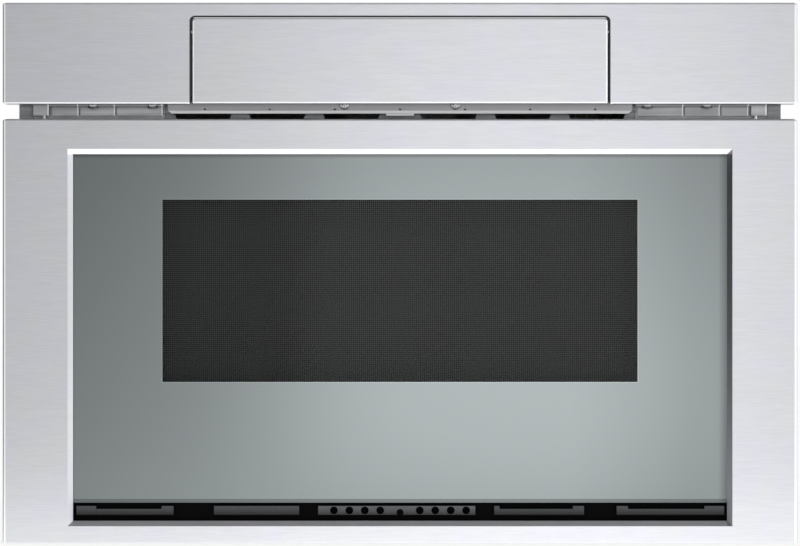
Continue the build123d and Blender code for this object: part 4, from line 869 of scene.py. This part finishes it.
def pan_head(name, x, y, z):
    """The domed top of a small cross-recessed screw, facing the front."""
    deselect()
    bpy.ops.mesh.primitive_uv_sphere_add(segments=32, ring_count=16, radius=head_radius,
                                         location=(x, y, z), rotation=(math.pi / 2, 0, 0))
    head = fresh(name)
    head.scale = (1, 1, head_height / head_radius)
    settle(head)
    pick_faces(head, lambda centre, normal: True)
    bpy.ops.mesh.bisect(plane_co=(x, y, z), plane_no=(0, 1, 0), clear_outer=True, use_fill=True)
    done()
    for half_x, half_z in ((recess_half, recess_reach), (recess_reach, recess_half)):
        cutter = block("cutter", (x - half_x, x + half_x),
                       (y - 2 * head_height, y - recess_floor), (z - half_z, z + half_z))
        apply(head, "BOOLEAN", object=cutter, operation="DIFFERENCE", solver="EXACT")
        bpy.data.objects.remove(cutter)
    return smoothed(head)


def strip_screw_heads():
    """Domes on the screws that show in the gap over the drawer."""
    heads = [pan_head("bracket_screw", x, bracket_screws_y, bracket_screws_z)
             for x in bracket_screws_x]
    heads += [pan_head("ledge_screw", x, ledge_screws_y, ledge_screws_z)
              for x in ledge_screws_x]
    return join("strip_screw_heads", heads)


def vent_shade_strip():
    """A dark strip behind the round holes of the baffle, standing in for the shade in them."""
    strip = block("vent_shade_strip", shade_strip_x, shade_strip_y, shade_strip_z)
    return apply(strip, "BEVEL", width=shade_strip_bevel, segments=2)


def sensor_eye():
    """A small dark eye with a rim, low in the middle bar of the baffle."""
    deselect()
    bpy.ops.mesh.primitive_cylinder_add(vertices=40, radius=eye_radius, depth=eye_thickness,
                                        location=(0, eye_y, eye_z),
                                        rotation=(math.pi / 2, 0, 0))
    eye = settle(fresh("sensor_eye"))
    pick_faces(eye, lambda centre, normal: normal.y < -0.9)
    bpy.ops.mesh.inset(thickness=eye_rim)
    bpy.ops.transform.translate(value=(0, eye_sink, 0))
    bpy.ops.mesh.inset(thickness=lens_inset)
    bpy.ops.transform.translate(value=(0, -lens_rise, 0))
    done()
    return smoothed(apply(eye, "BEVEL", width=eye_bevel, segments=2))


def panel_place(u, v):
    """Turns a place on the touch panel, just off its face, into a place on the object."""
    right = Vector((1, 0, 0))
    up = Vector((0, math.cos(panel_tilt), -math.sin(panel_tilt)))
    out = Vector((0, math.sin(panel_tilt), math.cos(panel_tilt)))
    place = panel_centre + right * u + up * v + out * print_lift
    turn = Matrix((right, up, out)).transposed().to_4x4()
    return Matrix.Translation(place) @ turn


def panel_text(name, words, size, u, v):
    """Figures printed on the touch panel."""
    deselect()
    bpy.ops.object.text_add()
    text = fresh(name)
    text.data.body = words
    text.data.size = size
    text.data.align_x = "CENTER"
    text.data.align_y = "CENTER"
    text.data.extrude = figure_half_thickness
    text.data.resolution_u = 3
    bpy.ops.object.convert(target="MESH")
    text = bpy.context.object
    text.matrix_world = panel_place(u, v)
    return settle(text)


def key_outline(name, u, v):
    """A thin rounded outline round one key."""
    deselect()
    bpy.ops.mesh.primitive_plane_add(size=1)
    key = fresh(name)
    key.scale = (key_width, key_height, 1)
    settle(key)
    bpy.ops.object.mode_set(mode="EDIT")
    bpy.ops.mesh.select_all(action="SELECT")
    bpy.ops.mesh.bevel(offset=key_corner, segments=4, affect="VERTICES")
    bpy.ops.mesh.inset(thickness=key_line)
    bpy.ops.mesh.delete(type="FACE")
    done()
    apply(key, "SOLIDIFY", thickness=key_thickness, offset=0.0)
    key.matrix_world = panel_place(u, v)
    return settle(key)


def touch_marks():
    """Number keys to the right of a clock, and plain keys to its left."""
    marks = []
    for side, kind in ((1, "key"), (-1, "plain_key")):
        for number in range(keys_a_side):
            column, row = number % keys_a_row, number // keys_a_row
            u = side * (first_column + column_step * column) * mm
            v = (top_row - row_step * row) * mm
            marks.append(key_outline("%s_%d" % (kind, number), u, v))
            if kind == "key":
                digit = str((number + 1) % 10)
                marks.append(panel_text("digit_%d" % number, digit, digit_size, u, v))
    return join("key_marks", marks)


# ---------------------------------------------------------------- light and camera


def seen_rays(tree):
    """One for a ray from the camera, or one that metal or glass sends on; otherwise nought."""
    rays = tree.nodes.new("ShaderNodeLightPath")
    total = rays.outputs["Is Camera Ray"]
    for kind in ("Is Glossy Ray", "Is Transmission Ray"):
        larger = tree.nodes.new("ShaderNodeMath")
        larger.operation = "MAXIMUM"
        tree.links.new(total, larger.inputs[0])
        tree.links.new(rays.outputs[kind], larger.inputs[1])
        total = larger.outputs[0]
    return total


def white_surround():
    """A soft pale surround that shows white behind the object, and in metal and glass."""
    world = bpy.data.worlds.new("surround")
    bpy.context.scene.world = world
    world.use_nodes = True
    tree = world.node_tree
    tree.nodes.clear()
    mixer = tree.nodes.new("ShaderNodeMixShader")
    tree.links.new(seen_rays(tree), mixer.inputs["Fac"])
    for place, strength in ((1, surround_strength), (2, 1.0)):
        light = tree.nodes.new("ShaderNodeBackground")
        light.inputs["Color"].default_value = (1, 1, 1, 1)
        light.inputs["Strength"].default_value = strength
        tree.links.new(light.outputs[0], mixer.inputs[place])
    output = tree.nodes.new("ShaderNodeOutputWorld")
    tree.links.new(mixer.outputs[0], output.inputs["Surface"])


def lamp(name, place, aim, size, power):
    """A soft rectangular lamp that shines from a place to an aim."""
    deselect()
    bpy.ops.object.light_add(type="AREA", location=place)
    light = fresh(name)
    direction = Vector(aim) - Vector(place)
    light.rotation_euler = direction.to_track_quat("-Z", "Y").to_euler()
    light.data.shape = "RECTANGLE"
    light.data.size, light.data.size_y = size
    light.data.energy = power
    light.visible_camera = False


def studio_grey(name, grey, roughness):
    """A plain material for a piece of the studio."""
    material = bpy.data.materials.new(name)
    material.use_nodes = True
    shader = material.node_tree.nodes["Principled BSDF"]
    shader.inputs["Base Color"].default_value = (grey, grey, grey, 1)
    shader.inputs["Roughness"].default_value = roughness
    return material


def card(name, x, y, z, grey):
    """A studio card beside the view: only metal and glass show it, as their darker side."""
    flag = sheet(name, x, y, z)
    flag.data.materials.append(studio_grey(name, grey, 0.9))
    for kind in ("camera", "diffuse", "shadow"):
        setattr(flag, "visible_" + kind, False)


def floor():
    """A pale floor, with a low step that carries the case as a cabinet's shelf would."""
    across = (-floor_reach, floor_reach)
    back = sheet("floor", across, (0, floor_reach), 0)
    riser = sheet("riser", across, 0, (cad_low.z, 0))
    front = sheet("front_floor", across, (-floor_reach, 0), cad_low.z)
    ground = join("floor", [back, riser, front])
    material = studio_grey("floor", 0.9, 0.8)
    tree = material.node_tree
    glow = tree.nodes.new("ShaderNodeEmission")
    glow.inputs["Color"].default_value = (1, 1, 1, 1)
    share = tree.nodes.new("ShaderNodeMath")
    share.operation = "MULTIPLY"
    share.inputs[1].default_value = floor_white
    tree.links.new(seen_rays(tree), share.inputs[0])
    mixer = tree.nodes.new("ShaderNodeMixShader")
    tree.links.new(share.outputs[0], mixer.inputs["Fac"])
    tree.links.new(tree.nodes["Principled BSDF"].outputs[0], mixer.inputs[1])
    tree.links.new(glow.outputs[0], mixer.inputs[2])
    tree.links.new(mixer.outputs[0], tree.nodes["Material Output"].inputs["Surface"])
    ground.data.materials.append(material)


def camera():
    """The photograph's view of the front."""
    deselect()
    bpy.ops.object.camera_add(location=(0, front_y - camera_distance, picture_centre),
                              rotation=(math.pi / 2, 0, 0))
    view = bpy.context.object
    view.data.sensor_fit = "HORIZONTAL"
    view.data.sensor_width = sensor_width
    view.data.lens = sensor_width * camera_distance / picture_width
    view.data.clip_end = camera_reach
    bpy.context.scene.camera = view


bpy.context.scene.view_settings.view_transform = "Standard"
camera()
white_surround()
floor()

# Lamps: place, aim, size and power. Cards: their place along each axis, and their grey.
lamp("key", (0.13, -1.9, 0.0), (0.13, 0, 0.04), (0.46, 0.95), 1.7)
lamp("low_front", (0.12, -0.148, -0.0195), (0.12, -0.148, 1), (0.9, 0.224), 0.45)
lamp("right_side", (0.75, -0.35, 0.2), (0, -0.35, 0.2), (0.6, 0.5), 0.7)
lamp("top_rear", (0.2, 0.9, 1.7), (0, 0.2, 0.2), (2.4, 1.6), 3.0)
card("left_card_near", -0.54, (-0.3, -0.01), (0.0, 1.3), 0.02)
card("left_card_far", -0.54, (-2.9, -1.2), (0.0, 1.3), 0.02)
card("top_card_near", (-0.54, 0.75), (-0.35, -0.08), 0.84, 0.1)
card("top_card_far", (-0.54, 0.75), (-1.6, -0.6), 0.84, 0.2)

# ---------------------------------------------------------------- finishes on the nodes

fascia_steel = brushed_stainless("fascia_steel", plate_sides, (fascia_foot,))
flap_steel = brushed_stainless("flap_steel", flap_sides, (flap_foot,))
drawer_steel = brushed_stainless("drawer_steel", plate_sides, (drawer_foot,), bevelled=True)
bright = plain_sheet("plated_sheet", 0.46, pad_edges)
dull = plain_sheet("dull_sheet", 0.28)
galvanised = galvanised_sheet()
rail = zinc_rail()
paint = cavity_paint()
plastic = black_plastic()
nylon = white_nylon()
board = circuit_board()
motor = motor_steel()
aluminium = cast_aluminium()
wire = screen_wire()

finishes = {
    fascia_steel: ["fascia"],
    flap_steel: ["flap_skin"],
    drawer_steel: ["drawer_front"],
    bright: ["fascia_brackets", "panel_screws"],
    ledge_sheet(): ["vent_ledge"],
    black_steel(): ["flap_pins"],
    dull: ["front_frame"],
    galvanised: ["base_pan", "top_cover", "right_side_panel", "left_side_panel", "rear_panel",
                 "flap_pocket", "cavity_supports", "carriage_arms", "stirrer_housing",
                 "waveguide", "choke_frame"],
    rail: ["outer_rails", "middle_rails", "inner_rails", "drive_shaft", "latch_hooks"],
    paint: ["cavity_floor", "cavity_ceiling", "cavity_side_walls", "cavity_back_wall",
            "drawer_tub"],
    clear_glass(): ["door_glass"],
    wire: ["window_screen"],
    black_paint(): ["door_backplate"],
    plastic: ["choke_cover", "flap_housing", "cord_gland", "touch_latch", "rotary_damper",
              "fan_housing", "interlock_switches"],
    baffle_plastic(): ["vent_baffle"],
    touch_panel(): ["touch_glass"],
    ceramic(): ["ceramic_tray"],
    nylon: ["tub_glides", "drive_gears", "motor_gear", "damper_pinion", "drive_racks",
            "shaft_bearings", "oven_lamp"],
    board: ["display_board", "control_board"],
    motor: ["drive_motor", "stirrer_motor", "fan_motor"],
    core_steel(): ["hv_transformer"],
    aluminium: ["magnetron", "hv_capacitor", "stirrer", "fan_wheel"],
    mica(): ["stirrer_cover"],
}
for finish, names in finishes.items():
    for name in names:
        node = nodes[name]
        if not node.material_slots:
            node.data.materials.append(finish.material)
        for slot in node.material_slots:
            slot.material = finish.material

# ---------------------------------------------------------------- new pieces in place

mesh_piece = wear(window_screen(), wire, "drawer")
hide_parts("window_screen")

coat_piece = wear(mirror_frame(), mirror_coating(), "drawer")

seal_piece = wear(gap_seal(), plastic, "case")

heads_piece = wear(strip_screw_heads(), screw_steel(), "case")

# The dark strip is a painted shade behind the baffle's holes.
shade_strip_piece = wear(vent_shade_strip(), black_steel("vent_shade_strip"), "drawer")

eye_piece = wear(sensor_eye(), lens_black(), "drawer")

marks_piece = wear(touch_marks(), printed_mark(), "control_flap")

clock = panel_text("clock_digits", "12:00", clock_size, 0, 0)
clock_piece = wear(clock, lit_digit(), "control_flap")
